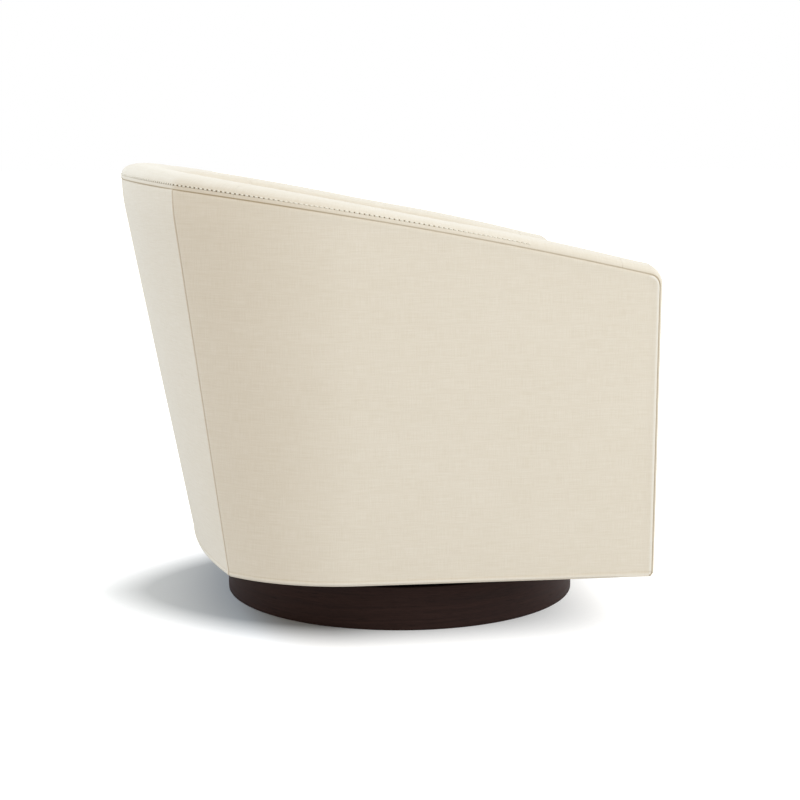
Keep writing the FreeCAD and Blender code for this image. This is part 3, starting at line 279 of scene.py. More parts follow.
def clothPanel(name, surface, columns, rows, thickness, material):
    # a closed panel: the outer sheet from surface(column, row), and a lining behind it
    outer, uvs, seams = [], [], []
    for c in columns:
        for r in rows:
            point, uv, seam = surface(c, r)
            outer.append(Vector(point))
            uvs.append(uv)
            seams.append(seam)
    high = len(rows)
    wide = len(columns)

    def at(i, j):
        return outer[min(max(i, 0), wide - 1) * high + min(max(j, 0), high - 1)]

    inner = []
    for i in range(wide):
        for j in range(high):
            normal = (at(i + 1, j) - at(i - 1, j)).cross(at(i, j + 1) - at(i, j - 1)).normalized()
            inner.append(at(i, j) - normal * thickness)
    total = wide * high
    faces = []
    for i in range(wide - 1):
        for j in range(high - 1):
            a, b, c, d = i * high + j, (i + 1) * high + j, (i + 1) * high + j + 1, i * high + j + 1
            faces.append((a, b, c, d))
            faces.append((a + total, d + total, c + total, b + total))
    border = [(i * high, (i + 1) * high) for i in range(wide - 1)]
    border += [((wide - 1) * high + j, (wide - 1) * high + j + 1) for j in range(high - 1)]
    border += [((i + 1) * high + high - 1, i * high + high - 1) for i in reversed(range(wide - 1))]
    border += [(j + 1, j) for j in reversed(range(high - 1))]
    faces += [(b, a, a + total, b + total) for a, b in border]
    return meshPiece(name, outer + inner, faces, uvs * 2, seams * 2, material)


def ringPiece(name, rings, uvs, seams, material, closed=False):
    # a closed body through rings of the same number of points, capped at both ends unless it is a loop
    count = len(rings[0])
    vertices = [p for ring in rings for p in ring]
    faces = []
    last = len(rings) if closed else len(rings) - 1
    for i in range(last):
        n = (i + 1) % len(rings)
        for j in range(count):
            k = (j + 1) % count
            faces.append((i * count + j, i * count + k, n * count + k, n * count + j))
    if not closed:
        faces.append(tuple(reversed(range(count))))
        faces.append(tuple((len(rings) - 1) * count + j for j in range(count)))
    flatUvs = [uv for ring in uvs for uv in ring]
    flatSeams = [s for ring in seams for s in ring]
    return faceOutwards(meshPiece(name, vertices, faces, flatUvs, flatSeams, material))


def cordAlong(name, points, radius, material, sides=10, closed=False):
    # a round sewn cord through points, with its ends drawn in
    rings, uvs, seams = [], [], []
    length = 0.0
    total = len(points)
    for i, point in enumerate(points):
        before = points[i - 1] if i or closed else point
        after = points[(i + 1) % total] if i + 1 < total or closed else point
        ahead = (after - before).normalized()
        side = ahead.cross(Vector((0, 0, 1)))
        side = side.normalized() if side.length > 0.05 else ahead.cross(Vector((1, 0, 0))).normalized()
        over = side.cross(ahead).normalized()
        size = radius
        if not closed and i in (0, total - 1):
            size = radius * 0.4
        if i:
            length += (point - points[i - 1]).length
        turns = [2 * math.pi * k / sides for k in range(sides)]
        rings.append([point + (side * math.cos(t) + over * math.sin(t)) * size for t in turns])
        uvs.append([(length, radius * t) for t in turns])
        seams.append([0.0] * sides)
    return ringPiece(name, rings, uvs, seams, material, closed)


# Materials


def startMaterial(name):
    material = bpy.data.materials.new(name)
    material.use_nodes = True
    tree = material.node_tree
    shader = tree.nodes["Principled BSDF"]
    return material, tree, shader


def addNode(tree, kind, **settings):
    node = tree.nodes.new(kind)
    for key, value in settings.items():
        if hasattr(node, key):
            setattr(node, key, value)
        else:
            node.inputs[key].default_value = value
    return node


def scaled(tree, source, scale):
    mapping = addNode(tree, "ShaderNodeMapping")
    mapping.inputs["Scale"].default_value = scale
    tree.links.new(source, mapping.inputs["Vector"])
    return mapping.outputs["Vector"]


def noiseValue(tree, vector, scale=1.0, detail=2.0, roughness=0.5):
    node = addNode(tree, "ShaderNodeTexNoise")
    node.inputs["Scale"].default_value = scale
    node.inputs["Detail"].default_value = detail
    node.inputs["Roughness"].default_value = roughness
    tree.links.new(vector, node.inputs["Vector"])
    return node.outputs["Fac"]


def mathValue(tree, operation, a, b, clamp=False):
    node = addNode(tree, "ShaderNodeMath", operation=operation, use_clamp=clamp)
    for socket, value in zip(node.inputs, (a, b)):
        if hasattr(value, "is_linked"):
            tree.links.new(value, socket)
        else:
            socket.default_value = value
    return node.outputs[0]


def ranged(tree, value, low, high, toLow, toHigh):
    node = addNode(tree, "ShaderNodeMapRange")
    tree.links.new(value, node.inputs["Value"])
    for key, number in (("From Min", low), ("From Max", high), ("To Min", toLow), ("To Max", toHigh)):
        node.inputs[key].default_value = number
    return node.outputs[0]


def mixColour(tree, factor, a, b, blend="MIX"):
    node = addNode(tree, "ShaderNodeMix", data_type="RGBA", blend_type=blend)
    for socket, value in ((node.inputs[0], factor), (node.inputs[6], a), (node.inputs[7], b)):
        if hasattr(value, "is_linked"):
            tree.links.new(value, socket)
        elif isinstance(value, tuple):
            socket.default_value = (*value, 1.0)
        else:
            socket.default_value = value
    return node.outputs[2]


def bumped(tree, shader, height, strength, distance):
    node = addNode(tree, "ShaderNodeBump")
    node.inputs["Strength"].default_value = strength
    node.inputs["Distance"].default_value = distance
    tree.links.new(height, node.inputs["Height"])
    tree.links.new(node.outputs["Normal"], shader.inputs["Normal"])


linen = {
    "light": (0.824, 0.768, 0.680),
    "dark": (0.739, 0.672, 0.566),
    # seam is a painted shade colour for the seam grooves, and edge is a painted highlight colour for the turned
    # edges; the cloth's own colour runs from light to dark
    "seam": (0.400, 0.300, 0.170),
    "edge": (0.930, 0.905, 0.850),
    "seamShadowStrength": 0.72,
    "edgeHighlightStrength": 1.0,
    "roughness": 0.9,
    "sheen": (0.22, 0.4),  # weight and roughness
    "specular": 0.2,
    "slubLength": 42.0,
    "threads": 900.0,
    "weftShare": 0.52,
    "threadTone": (0.38, 0.62, 0.74, 0.22),
    "slubTone": (0.35, 0.65, 0.10, -0.10),
    "softTone": (0.3, 0.7, 0.12, -0.12),
    "bump": (0.30, 0.0005),
}


def makeLinen(name):
    material, tree, shader = startMaterial(name)
    cloth = addNode(tree, "ShaderNodeUVMap", uv_map="weave").outputs["UV"]
    long, fine = linen["slubLength"], linen["threads"]
    weft = noiseValue(tree, scaled(tree, cloth, (long, fine, 1)), detail=2)
    warp = noiseValue(tree, scaled(tree, cloth, (fine, long, 1)), detail=2)
    slub = noiseValue(tree, scaled(tree, cloth, (long * 0.5, fine * 0.3, 1)), detail=3)
    grain = noiseValue(tree, scaled(tree, cloth, (fine * 1.7, fine * 1.3, 1)), detail=1)
    broad = noiseValue(tree, scaled(tree, cloth, (3.0, 6.0, 1)), detail=3)
    weftPart = mathValue(tree, "MULTIPLY", weft, linen["weftShare"])
    threads = mathValue(tree, "ADD", weftPart, mathValue(tree, "MULTIPLY", warp, 1 - linen["weftShare"]))
    tone = ranged(tree, threads, *linen["threadTone"])
    tone = mathValue(tree, "ADD", tone, ranged(tree, slub, *linen["slubTone"]))
    tone = mathValue(tree, "ADD", tone, ranged(tree, broad, *linen["softTone"]))
    tone = mathValue(tree, "ADD", tone, ranged(tree, grain, *linen["softTone"]), clamp=True)
    colour = mixColour(tree, tone, linen["light"], linen["dark"])
    # painted seam shading: the attribute darkens the cloth towards the seam shade colour in the grooves and
    # paints highlights on the turned edges
    seam = addNode(tree, "ShaderNodeAttribute", attribute_name="seamShade").outputs["Fac"]
    darker = mathValue(tree, "MULTIPLY", seam, linen["seamShadowStrength"], clamp=True)
    paler = mathValue(tree, "MULTIPLY", seam, -linen["edgeHighlightStrength"], clamp=True)
    colour = mixColour(tree, darker, colour, linen["seam"])
    colour = mixColour(tree, paler, colour, linen["edge"])
    tree.links.new(colour, shader.inputs["Base Color"])
    shader.inputs["Roughness"].default_value = linen["roughness"]
    shader.inputs["Sheen Weight"].default_value = linen["sheen"][0]
    shader.inputs["Sheen Roughness"].default_value = linen["sheen"][1]
    shader.inputs["Specular IOR Level"].default_value = linen["specular"]
    height = mathValue(tree, "ADD", threads, mathValue(tree, "MULTIPLY", grain, 0.5))
    bumped(tree, shader, height, *linen["bump"])
    return material


veneer = {
    "dark": (0.014, 0.0070, 0.0060),
    "mid": (0.022, 0.0100, 0.0080),
    "light": (0.046, 0.0235, 0.0195),
    "roughness": (0.56, 0.72),
    "specular": 0.12,
    "figure": 7.0,  # how far the grain lines wander
    "poreFrom": 0.56,
    "poreTo": 0.66,
    "bump": (0.3, 0.0004),
}


def makeVeneer():
    material, tree, shader = startMaterial("espressoVeneer")
    sheet = addNode(tree, "ShaderNodeUVMap", uv_map="weave").outputs["UV"]
    bend = noiseValue(tree, scaled(tree, sheet, (2.2, 9, 1)), detail=2)
    grainSource = addNode(tree, "ShaderNodeVectorMath", operation="ADD")
    tree.links.new(scaled(tree, sheet, (3.5, 190, 1)), grainSource.inputs[0])
    lift = addNode(tree, "ShaderNodeCombineXYZ")
    tree.links.new(mathValue(tree, "MULTIPLY", bend, veneer["figure"]), lift.inputs["Y"])
    tree.links.new(lift.outputs[0], grainSource.inputs[1])
    grain = noiseValue(tree, grainSource.outputs[0], detail=5, roughness=0.6)
    pores = noiseValue(tree, scaled(tree, sheet, (38, 1500, 1)), detail=2)
    patches = noiseValue(tree, scaled(tree, sheet, (1.6, 3.0, 1)), detail=2)
    lines, shades = ranged(tree, grain, 0.3, 0.72, 0.0, 1.0), ranged(tree, patches, 0.3, 0.7, -0.15, 0.15)
    tone = mathValue(tree, "ADD", lines, shades, clamp=True)
    colour = mixColour(tree, tone, veneer["mid"], veneer["light"])
    poreRange = (veneer["poreFrom"], veneer["poreTo"])
    colour = mixColour(tree, ranged(tree, pores, *poreRange, 0.0, 0.8), colour, veneer["dark"])
    tree.links.new(colour, shader.inputs["Base Color"])
    tree.links.new(ranged(tree, grain, 0.3, 0.7, *veneer["roughness"]), shader.inputs["Roughness"])
    shader.inputs["Specular IOR Level"].default_value = veneer["specular"]
    height = mathValue(tree, "SUBTRACT", grain, ranged(tree, pores, *poreRange, 0.0, 0.5))
    bumped(tree, shader, height, *veneer["bump"])
    return material


def makeWood(name, light, dark, scale=(3, 40, 3)):
    material, tree, shader = startMaterial(name)
    place = addNode(tree, "ShaderNodeTexCoord").outputs["Object"]
    grain = noiseValue(tree, scaled(tree, place, scale), scale=4, detail=5, roughness=0.65)
    fibre = noiseValue(tree, scaled(tree, place, (scale[0] * 8, scale[1] * 8, scale[2] * 8)), scale=6, detail=2)
    colour = mixColour(tree, ranged(tree, grain, 0.3, 0.7, 0, 1), light, dark)
    colour = mixColour(tree, ranged(tree, fibre, 0.5, 0.7, 0, 0.3), colour, dark)
    tree.links.new(colour, shader.inputs["Base Color"])
    shader.inputs["Roughness"].default_value = 0.7
    bumped(tree, shader, fibre, 0.2, 0.0005)
    return material


def makeSteel(name, colour, metallic, roughness):
    material, tree, shader = startMaterial(name)
    place = addNode(tree, "ShaderNodeTexCoord").outputs["Object"]
    speckle = noiseValue(tree, place, scale=240, detail=3)
    cloud = noiseValue(tree, place, scale=18, detail=3)
    darker = tuple(c * 0.8 for c in colour)
    shaded = mixColour(tree, ranged(tree, cloud, 0.3, 0.7, 0, 1), colour, darker)
    tree.links.new(shaded, shader.inputs["Base Color"])
    worn = ranged(tree, speckle, 0.3, 0.7, roughness - 0.06, roughness + 0.08)
    tree.links.new(worn, shader.inputs["Roughness"])
    shader.inputs["Metallic"].default_value = metallic
    bumped(tree, shader, speckle, 0.15, 0.0003)
    return material


def makeSoft(name, light, dark, scale, roughness=0.95):
    material, tree, shader = startMaterial(name)
    place = addNode(tree, "ShaderNodeTexCoord").outputs["Object"]
    fibres = noiseValue(tree, place, scale=scale, detail=4, roughness=0.7)
    colour = mixColour(tree, ranged(tree, fibres, 0.3, 0.7, 0, 1), light, dark)
    tree.links.new(colour, shader.inputs["Base Color"])
    shader.inputs["Roughness"].default_value = roughness
    bumped(tree, shader, fibres, 0.3, 0.0006)
    return material


linenCloth = makeLinen("linenCloth")
threadCloth = makeSoft("creamThread", (0.90, 0.87, 0.79), (0.80, 0.75, 0.64), 900)
# painted shade: the dark colour of the needle holes and of the strip under the stitches
holeShade = makeSoft("needleHoleShade", (0.30, 0.24, 0.16), (0.20, 0.15, 0.09), 600)
espressoVeneer = makeVeneer()
slotMaterials = {
    "linen": linenCloth,
    "foam": makeSoft("creamFoam", (0.84, 0.80, 0.66), (0.70, 0.66, 0.52), 300),
    "black_cloth": makeSoft("blackDustCloth", (0.012, 0.012, 0.012), (0.03, 0.03, 0.03), 500),
    "webbing": makeSoft("juteWebbing", (0.40, 0.30, 0.17), (0.22, 0.16, 0.09), 350),
    "dark_veneer": espressoVeneer,
    "plywood": makeWood("birchPlywood", (0.62, 0.46, 0.29), (0.42, 0.29, 0.17), (4, 4, 160)),
    "hardwood": makeWood("rawBeech", (0.56, 0.38, 0.22), (0.38, 0.24, 0.13)),
    "black_steel": makeSteel("blackPowderCoat", (0.018, 0.018, 0.019), 0.0, 0.45),
    "bright_steel": makeSteel("zincSteel", (0.56, 0.56, 0.55), 1.0, 0.32),
    "nylon": makeSteel("naturalNylon", (0.72, 0.71, 0.66), 0.0, 0.5),
}
for entry in frame["record"]["subparts"]:
    carried = nodes[entry["node"]]
    carried.data.materials.clear()
    carried.data.materials.append(slotMaterials[entry["material_slot"]])
print("materials made")


def dress(piece, *replaced, slot="linen", fill=None):
    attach(piece, "plinth" if slot == "dark_veneer" else "seat_body")
    if replaced:
        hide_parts(*replaced)
    return piece


# Seams: a groove that the cloth dips into, and the shade painted along it

seamStyle = {
    # the groove's depth and width, the width of its painted shade, the roll beside it, and the place, width and
    # strength of the painted edge highlight
    "depth": 0.0010,
    "width": 0.0014,
    "shadeWidth": 0.0009,
    "roll": 0.0005,
    "rollAt": 0.0050,
    "rollWidth": 0.005,
    "edgeAt": 0.0030,
    "edgeWidth": 0.0011,
    "edgeLight": 0.45,
}


def bell(distance, width):
    return math.exp(-((distance / width) ** 2))


def groove(distance, depth=1.0):
    dip = -seamStyle["depth"] * depth * bell(distance, seamStyle["width"])
    roll = seamStyle["roll"] * depth * bell(distance - seamStyle["rollAt"], seamStyle["rollWidth"])
    return dip + roll


def shadeAt(distance, strength=1.0):
    # painted shade along a seam groove, strongest on the seam line
    return strength * bell(distance, seamStyle["shadeWidth"])


def edgeLight(distance):
    # a painted highlight on the turned edge beside a felled seam, as a negative shade
    return -seamStyle["edgeLight"] * bell(distance - seamStyle["edgeAt"], seamStyle["edgeWidth"])


def ripple(point, scale, height):
    return height * noise.noise(Vector(point) * scale)


# Outside panels

outside = {
    "belly": 0.0020,
    "backBelly": 0.0004,
    "backSet": 0.0012,
    "ripple": 0.0006,
    "fellWidth": 0.0036,
    "fellHeight": 0.0009,
    "hem": 0.0045,
    "hemHeight": 0.0009,
    # hemShadeLine is a painted shade line above the hem and hemLight a painted highlight on the hem strip;
    # topShade and cornerShade are painted seam shade, topShade stronger towards the back
    "hemShadeLine": (0.35, 0.0004, 0.0009),  # strength, place above the hem, and width
    "hemLight": 0.30,
    "dip": 0.0018,
    "dipFrom": (-0.25, -0.29),
    "cornerShare": 0.36,  # how much of an arm panel's columns goes to its curve
    "topShade": (0.75, 1.3),
    "topShadeFrom": (0.05, 0.27),
    "cornerShade": 0.62,
    "cornerDepth": 0.7,
}


def fell(distance):
    # the turned edge of a felled seam: a flat raised strip beside the seam line
    width = outside["fellWidth"]
    rise = smooth(0.0006, 0.0016, distance)
    return outside["fellHeight"] * rise * (1 - smooth(width - 0.0010, width, distance))


def hemStrip(bottomGap):
    # the turned hem: a low step above a flat strip
    return outside["hemHeight"] * (1 - smooth(outside["hem"] - 0.0008, outside["hem"] + 0.0004, bottomGap))


def hemShade(bottomGap):
    # a painted shade line just above the hem's step, and a painted highlight on the hem strip below it
    strength, above, width = outside["hemShadeLine"]
    line = strength * bell(bottomGap - outside["hem"] - above, width)
    strip = -outside["hemLight"] * (1 - smooth(0.0012, outside["hem"] - 0.0006, bottomGap))
    return line + strip


def strongest(*shades):
    # the darkest of some painted seam shades, or the painted edge highlight where no seam is near
    dark = max(shades)
    return dark if dark > 0.05 else min(shades)


def backPanelSurface(c, r):
    share = 2 * c - 1

    def lineY(z):
        return outerBack(outerOutline(z)["corner"][0] * share, z)

    _, topZ = levelOnRim(lineY)
    z = mix(shell["bottom"], topZ, r)
    o = outerOutline(z)
    x = o["corner"][0] * share
    y = lineY(z)
    sideGap = (1 - abs(share)) * o["corner"][0]
    topGap, bottomGap = (topZ - z) * 0.98, z - shell["bottom"]
    outwards = Vector((x, y - o["backCentre"], 0)).normalized()
    nearest = min(sideGap, topGap, bottomGap + outside["hem"])
    lift = groove(topGap) + groove(sideGap, outside["cornerDepth"]) + fell(sideGap) + hemStrip(bottomGap)
    lift += outside["backBelly"] * math.sin(math.pi * c) * math.sin(math.pi * r) - tuckAt(y, topGap)
    lift -= outside["backSet"] * smooth(0.0, 0.08, sideGap)
    lift += ripple((x, y, z), 7.0, outside["ripple"]) * smooth(0.0, 0.05, nearest)
    point = Vector((x, y, z)) + outwards * lift
    # painted shade along the seams and the hem, and painted highlights on the turned edges
    shade = strongest(
        shadeAt(topGap, outside["topShade"][1]),
        shadeAt(sideGap, outside["cornerShade"]),
        edgeLight(sideGap),
        hemShade(bottomGap),
    )
    return point, (x, z), shade


def sidePanelSurface(side):
    cornerShare = outside["cornerShare"]

    def surface(c, r):
        def lineY(z):
            o = outerOutline(z)
            if c < cornerShare:
                return mix(o["corner"][1], o["start"], c / cornerShare)
            return mix(o["start"], -shell["front"], (c - cornerShare) / (1 - cornerShare))

        _, topZ = levelOnRim(lineY)
        if c > 0.9999:
            topZ = noseZ
        toe = shell["toe"]
        behindToe = toe - (lineY(shell["bottom"]) + shell["front"])
        lowZ = shell["bottom"]
        if behindToe > 0:
            lowZ += toe - math.sqrt(max(toe * toe - behindToe * behindToe, 0.0))
        lowZ -= outside["dip"] * smooth(*outside["dipFrom"], lineY(shell["bottom"]))
        z = mix(lowZ, topZ, r)
        y = lineY(z)
        o = outerOutline(z)
        x = outerSide(y, z)
        outwards = Vector((1, 0, 0))
        if y > o["start"]:
            outwards = Vector((x - o["sideCentre"], y - o["start"], 0)).normalized()
        rearGap = math.hypot(o["corner"][1] - y, o["corner"][0] - x)
        frontGap = y + shell["front"]
        if y < noseY and z > noseZ:
            frontGap = max(rim["nose"] - math.hypot(y - noseY, z - noseZ), 0.0)
            topGap = frontGap
        else:
            topGap = (seamHeight(y) - z) * 0.98
        if behindToe > 0 and z < shell["bottom"] + toe:
            frontGap = max(toe - math.hypot(behindToe, shell["bottom"] + toe - z), 0.0)
        bottomGap = z - shell["bottom"]
        nearest = min(rearGap, frontGap, topGap, bottomGap + outside["hem"])
        lift = groove(topGap) + groove(rearGap, outside["cornerDepth"]) + groove(frontGap) + 0.7 * fell(frontGap)
        lift += outside["belly"] * math.sin(math.pi * c) * math.sin(math.pi * r)
        lift += hemStrip(bottomGap) * smooth(0.0, 0.006, frontGap) - tuckAt(y, topGap)
        lift += ripple((x, y, z + side), 7.0, outside["ripple"]) * smooth(0.0, 0.05, nearest)
        point = Vector((x, y, z)) + outwards * lift
        point.x *= side
        # painted shade along the seams and the hem, and painted highlights on the turned edges
        shade = strongest(
            shadeAt(topGap, mix(*outside["topShade"], smooth(*outside["topShadeFrom"], y))),
            shadeAt(rearGap, outside["cornerShade"]),
            shadeAt(frontGap),
            2.0 * edgeLight(frontGap),
            hemShade(bottomGap),
        )
        return point, (side * y, z), shade

    return surface


def makeOutside():
    columns = spacing(2 * shell["cornerX"][0], step=0.012)
    rows = spacing(0.56, step=0.012)
    back = clothPanel("outsideBack", backPanelSurface, columns, rows, -shell["thickness"], linenCloth)
    dress(faceOutwards(back), "outside_back_cover", fill=0.3)
    for name, side in (("left", 1), ("right", -1)):
        columns = spacing(0.66, step=0.010)
        surface, thickness = sidePanelSurface(side), -side * shell["thickness"]
        panel = clothPanel(f"outsideArm_{name}", surface, columns, rows, thickness, linenCloth)
        dress(faceOutwards(panel), f"outside_arm_cover_{name}", fill=0.3)


makeOutside()
print("outside panels made")

# The padded band over the rim and down the arm fronts

band = {
    "sidePower": (0.85, 0.70),  # at the back, and along the arms
    "crownPower": 0.78,
    "rearSeam": 0.273,
    "armSeam": -0.268,
    "stitchEnd": -0.131,
    "step": 0.006,
    "turns": 30,
    "edgeTurns": (0.0, 0.010, 0.026, 0.055),
    "under": 0.005,
    "underAt": (0.92, 0.5, 0.08),
    "endRound": 0.004,
    "footCrown": 0.0035,
    "straightFrom": 0.04,  # where the band has come round the corner
    "noseSteps": 12,
    "toeSteps": 8,
    "crossDip": (0.03, 0.0018),  # the dip of a cross seam: share of the crown, and width
    # crossShade and topShade are painted shade at the cross seams and along the band's seams
    "crossShade": 0.07,
    "topShade": (0.85, 1.3),
    "ripple": 0.0009,
    "refineBy": (0.0012, 0.0025, 0.004, 0.006),
}
bandTurns = list(band["edgeTurns"])
bandTurns += [math.pi * k / band["turns"] for k in range(1, band["turns"])]
bandTurns += [math.pi - turn for turn in reversed(band["edgeTurns"])]
bandEdge = len(bandTurns) - 1


def bandStations():
    # the +X half of the band's path, from the middle of the back to the foot of the arm front
    cornerY, cornerZ = levelOnRim(lambda z: outerOutline(z)["corner"][1])
    cornerX = outerOutline(cornerZ)["corner"][0]
    turn = math.radians(room["cornerTurn"])

    def roomCorner(z):
        cx, cy = roomOutline(z)["centre"]
        return cx + room["corner"] * math.cos(turn), cy + room["corner"] * math.sin(turn)

    roomY, roomZ = levelOnRim(lambda z: roomCorner(z)[1])
    roomX = roomCorner(roomZ)[0]
    straightFrom = band["straightFrom"]
    up = Vector((0, 0, 1))
    stations = []

    def add(outer, inner, direction, crown):
        outer, inner = Vector(outer), Vector(inner)
        outer -= (outer - inner).normalized() * tuckAt(outer.y) if direction.z > 0.99 else Vector()
        stations.append({"outer": outer, "inner": inner, "up": direction, "crown": crown})

    meanCrown = rim["crownCorner"]
    count = int(cornerX / band["step"])
    for i in range(count + 1):
        share = i / count
        ox, ix = cornerX * share, roomX * share
        oy, oz = levelOnRim(lambda z: outerBack(ox, z))
        iy, iz = levelOnRim(lambda z: roomBack(ix, z))
        add((ox, oy, oz), (ix, iy, iz), up, mix(rim["crownBack"], meanCrown, share**2))
    count = int((cornerY - straightFrom) / band["step"])
    for i in range(1, count + 1):
        share = i / count
        oy, iy = mix(cornerY, straightFrom, share), mix(roomY, straightFrom, share)
        oz, iz = rimHeight(oy), rimHeight(iy)
        add((outerSide(oy, oz), oy, oz), (roomSide(iy, iz), iy, iz), up, mix(meanCrown, rim["crownArm"], share))
    noseFrom = noseY + rim["nose"] * math.sin(noseStart)
    count = int((straightFrom - noseFrom) / band["step"])
    for i in range(1, count):
        y = mix(straightFrom, noseFrom, i / count)
        z = rimHeight(y)
        crown = mix(rim["crownNose"], rim["crownArm"], smooth(noseFrom, -0.12, y))
        add((outerSide(y, z), y, z), (roomSide(y, z), y, z), up, crown)
    for i in range(band["noseSteps"] + 1):
        share = i / band["noseSteps"]
        turn = mix(-noseStart, math.pi / 2, share)
        y, z = noseY - rim["nose"] * math.sin(turn), noseZ + rim["nose"] * math.cos(turn)
        direction = Vector((0, -math.sin(turn), math.cos(turn)))
        crown = mix(rim["crownNose"], rim["crownFront"], share**0.7)
        add((outerSide(y, z), y, z), (roomSide(y, z), y, z), direction, crown)
    front, toe = -shell["front"], shell["toe"]
    toeTop = shell["bottom"] + toe
    count = int((noseZ - toeTop) / band["step"])
    for i in range(1, count + 1):
        z = mix(noseZ, toeTop, i / count)
        outer, inner = (outerSide(front, z), front, z), (roomSide(front, z), front, z)
        add(outer, inner, Vector((0, -1, 0)), rim["crownFront"])
    for i in range(1, band["toeSteps"] + 1):
        share = i / band["toeSteps"]
        turn = math.pi / 2 * share
        y, z = front + toe - toe * math.cos(turn), toeTop - toe * math.sin(turn)
        direction = Vector((0, -math.cos(turn), -math.sin(turn)))
        crown = mix(rim["crownFront"], band["footCrown"], share)
        add((outerSide(front, z), y, z), (roomSide(front, z), y, z), direction, crown)
    length = 0.0
    for i, station in enumerate(stations):
        if i:
            length += (station["outer"] - stations[i - 1]["outer"]).length
        station["along"] = length
    return stations


def bandSection(station, seamGap=1.0, endGap=1.0):
    # points across the band from the outer seam to the inner one, then back along its underside
    outer, inner, up = station["outer"], station["inner"], station["up"]
    middle, reach = (outer + inner) / 2, (outer - inner) / 2
    squeeze = 1 - band["crossDip"][0] * bell(seamGap, band["crossDip"][1])
    sidePower = mix(band["sidePower"][1], band["sidePower"][0], smooth(0.30, 0.42, outer.y))
    ending = min(endGap / band["endRound"], 1.0)
    crown = station["crown"] * squeeze * math.sqrt(max(1 - (1 - ending) ** 2, 0.0))
    topShade = mix(*band["topShade"], smooth(*outside["topShadeFrom"], outer.y))
    points, widths, seams = [], [], []
    for turn in bandTurns:
        cosine, sine = math.cos(turn), max(math.sin(turn), 0.0)
        lateral = math.copysign(abs(cosine) ** sidePower, cosine)
        height = sine ** band["crownPower"]
        point = middle + reach * lateral + up * crown * height
        point += up * ripple(point, 9.0, band["ripple"]) * height
        widths.append(0.0 if not points else widths[-1] + (point - points[-1]).length)
        points.append(point)
    # painted shade along the band's seams and at its cross seams
    for width in widths:
        edge = min(width, widths[-1] - width)
        seams.append(max(shadeAt(edge, topShade), shadeAt(seamGap, band["crossShade"])))
    for share in band["underAt"]:
        points.append(inner + (outer - inner) * (1 - share) - up * band["under"])
        widths.append(widths[bandEdge] + 0.01)
        seams.append(0.0)
    return points, widths, seams


def bandPiece(name, stations, side, seamsAt=(), endAt=None):
    rings, uvs, shades = [], [], []
    for station in stations:
        seamGap = min([abs(station["along"] - s) for s in seamsAt] or [1.0])
        endGap = abs(station["along"] - endAt) + 1e-4 if endAt is not None else 1.0
        points, widths, seams = bandSection(station, seamGap, endGap)
        for p in points:
            p.x *= side
        rings.append(points)
        uvs.append([(side * station["along"], w) for w in widths])
        shades.append(seams)
    return ringPiece(name, rings, uvs, shades, linenCloth)


def mirrored(station):
    other = dict(station)
    for key in ("outer", "inner", "up"):
        other[key] = Vector((-station[key].x, station[key].y, station[key].z))
    other["along"] = -station["along"]
    return other


def refine(stations, seamsAt):
    # more stations beside the cross seams, so their dips are smooth
    steps = {0.0, *band["refineBy"], *(-d for d in band["refineBy"])}
    wanted = sorted({s + d for s in seamsAt for d in steps})
    result = []
    for first, second in zip(stations, stations[1:]):
        result.append(first)
        for s in wanted:
            if first["along"] + 2e-4 < s < second["along"] - 2e-4:
                share = (s - first["along"]) / (second["along"] - first["along"])
                between = {key: first[key].lerp(second[key], share) for key in ("outer", "inner", "up")}
                between["up"].normalize()
                between["crown"] = mix(first["crown"], second["crown"], share)
                between["along"] = s
                result.append(between)
    return result + [stations[-1]]


halfPath = bandStations()


def alongAt(y):
    # length along the band's outer seam to where it passes a y, above the fronts of the arms
    passed = [s for s in halfPath if s["outer"].y >= y and s["outer"].z > 0.53]
    return passed[-1]["along"]


def makeBand():
    rear, arm = alongAt(band["rearSeam"]), alongAt(band["armSeam"])
    foot = halfPath[-1]["along"]
    fine = refine(halfPath, (rear, arm))
    backHalf = [s for s in fine if s["along"] <= rear + 1e-5]
    whole = [mirrored(s) for s in reversed(backHalf[1:])] + backHalf
    dress(bandPiece("bandBack", whole, 1, (-rear, rear)), "back_band", fill=0.7)
    for name, side in (("left", 1), ("right", -1)):
        armPart = [s for s in fine if rear - 1e-5 <= s["along"] <= arm + 1e-5]
        frontPart = [s for s in fine if s["along"] >= arm - 1e-5]
        dress(bandPiece(f"bandArm_{name}", armPart, side, (rear, arm)), f"arm_band_{name}", fill=0.7)
        dress(bandPiece(f"bandFront_{name}", frontPart, side, (arm,), foot), f"arm_band_{name}", fill=0.7)


makeBand()
print("padded band made")

# Inside back and inside arms

inside = {
    "seamTurn": 0.40,  # the share of the outline at which the back meets an arm
    "belly": 0.010,
    "armBelly": 0.006,
    "foot": 0.30,
    "thickness": 0.004,
    "ripple": 0.0012,
    "length": 0.93,  # of half the outline
    "fillAt": (0.0, 0.16),
    "frontFillAt": (0.0, 0.10),
}


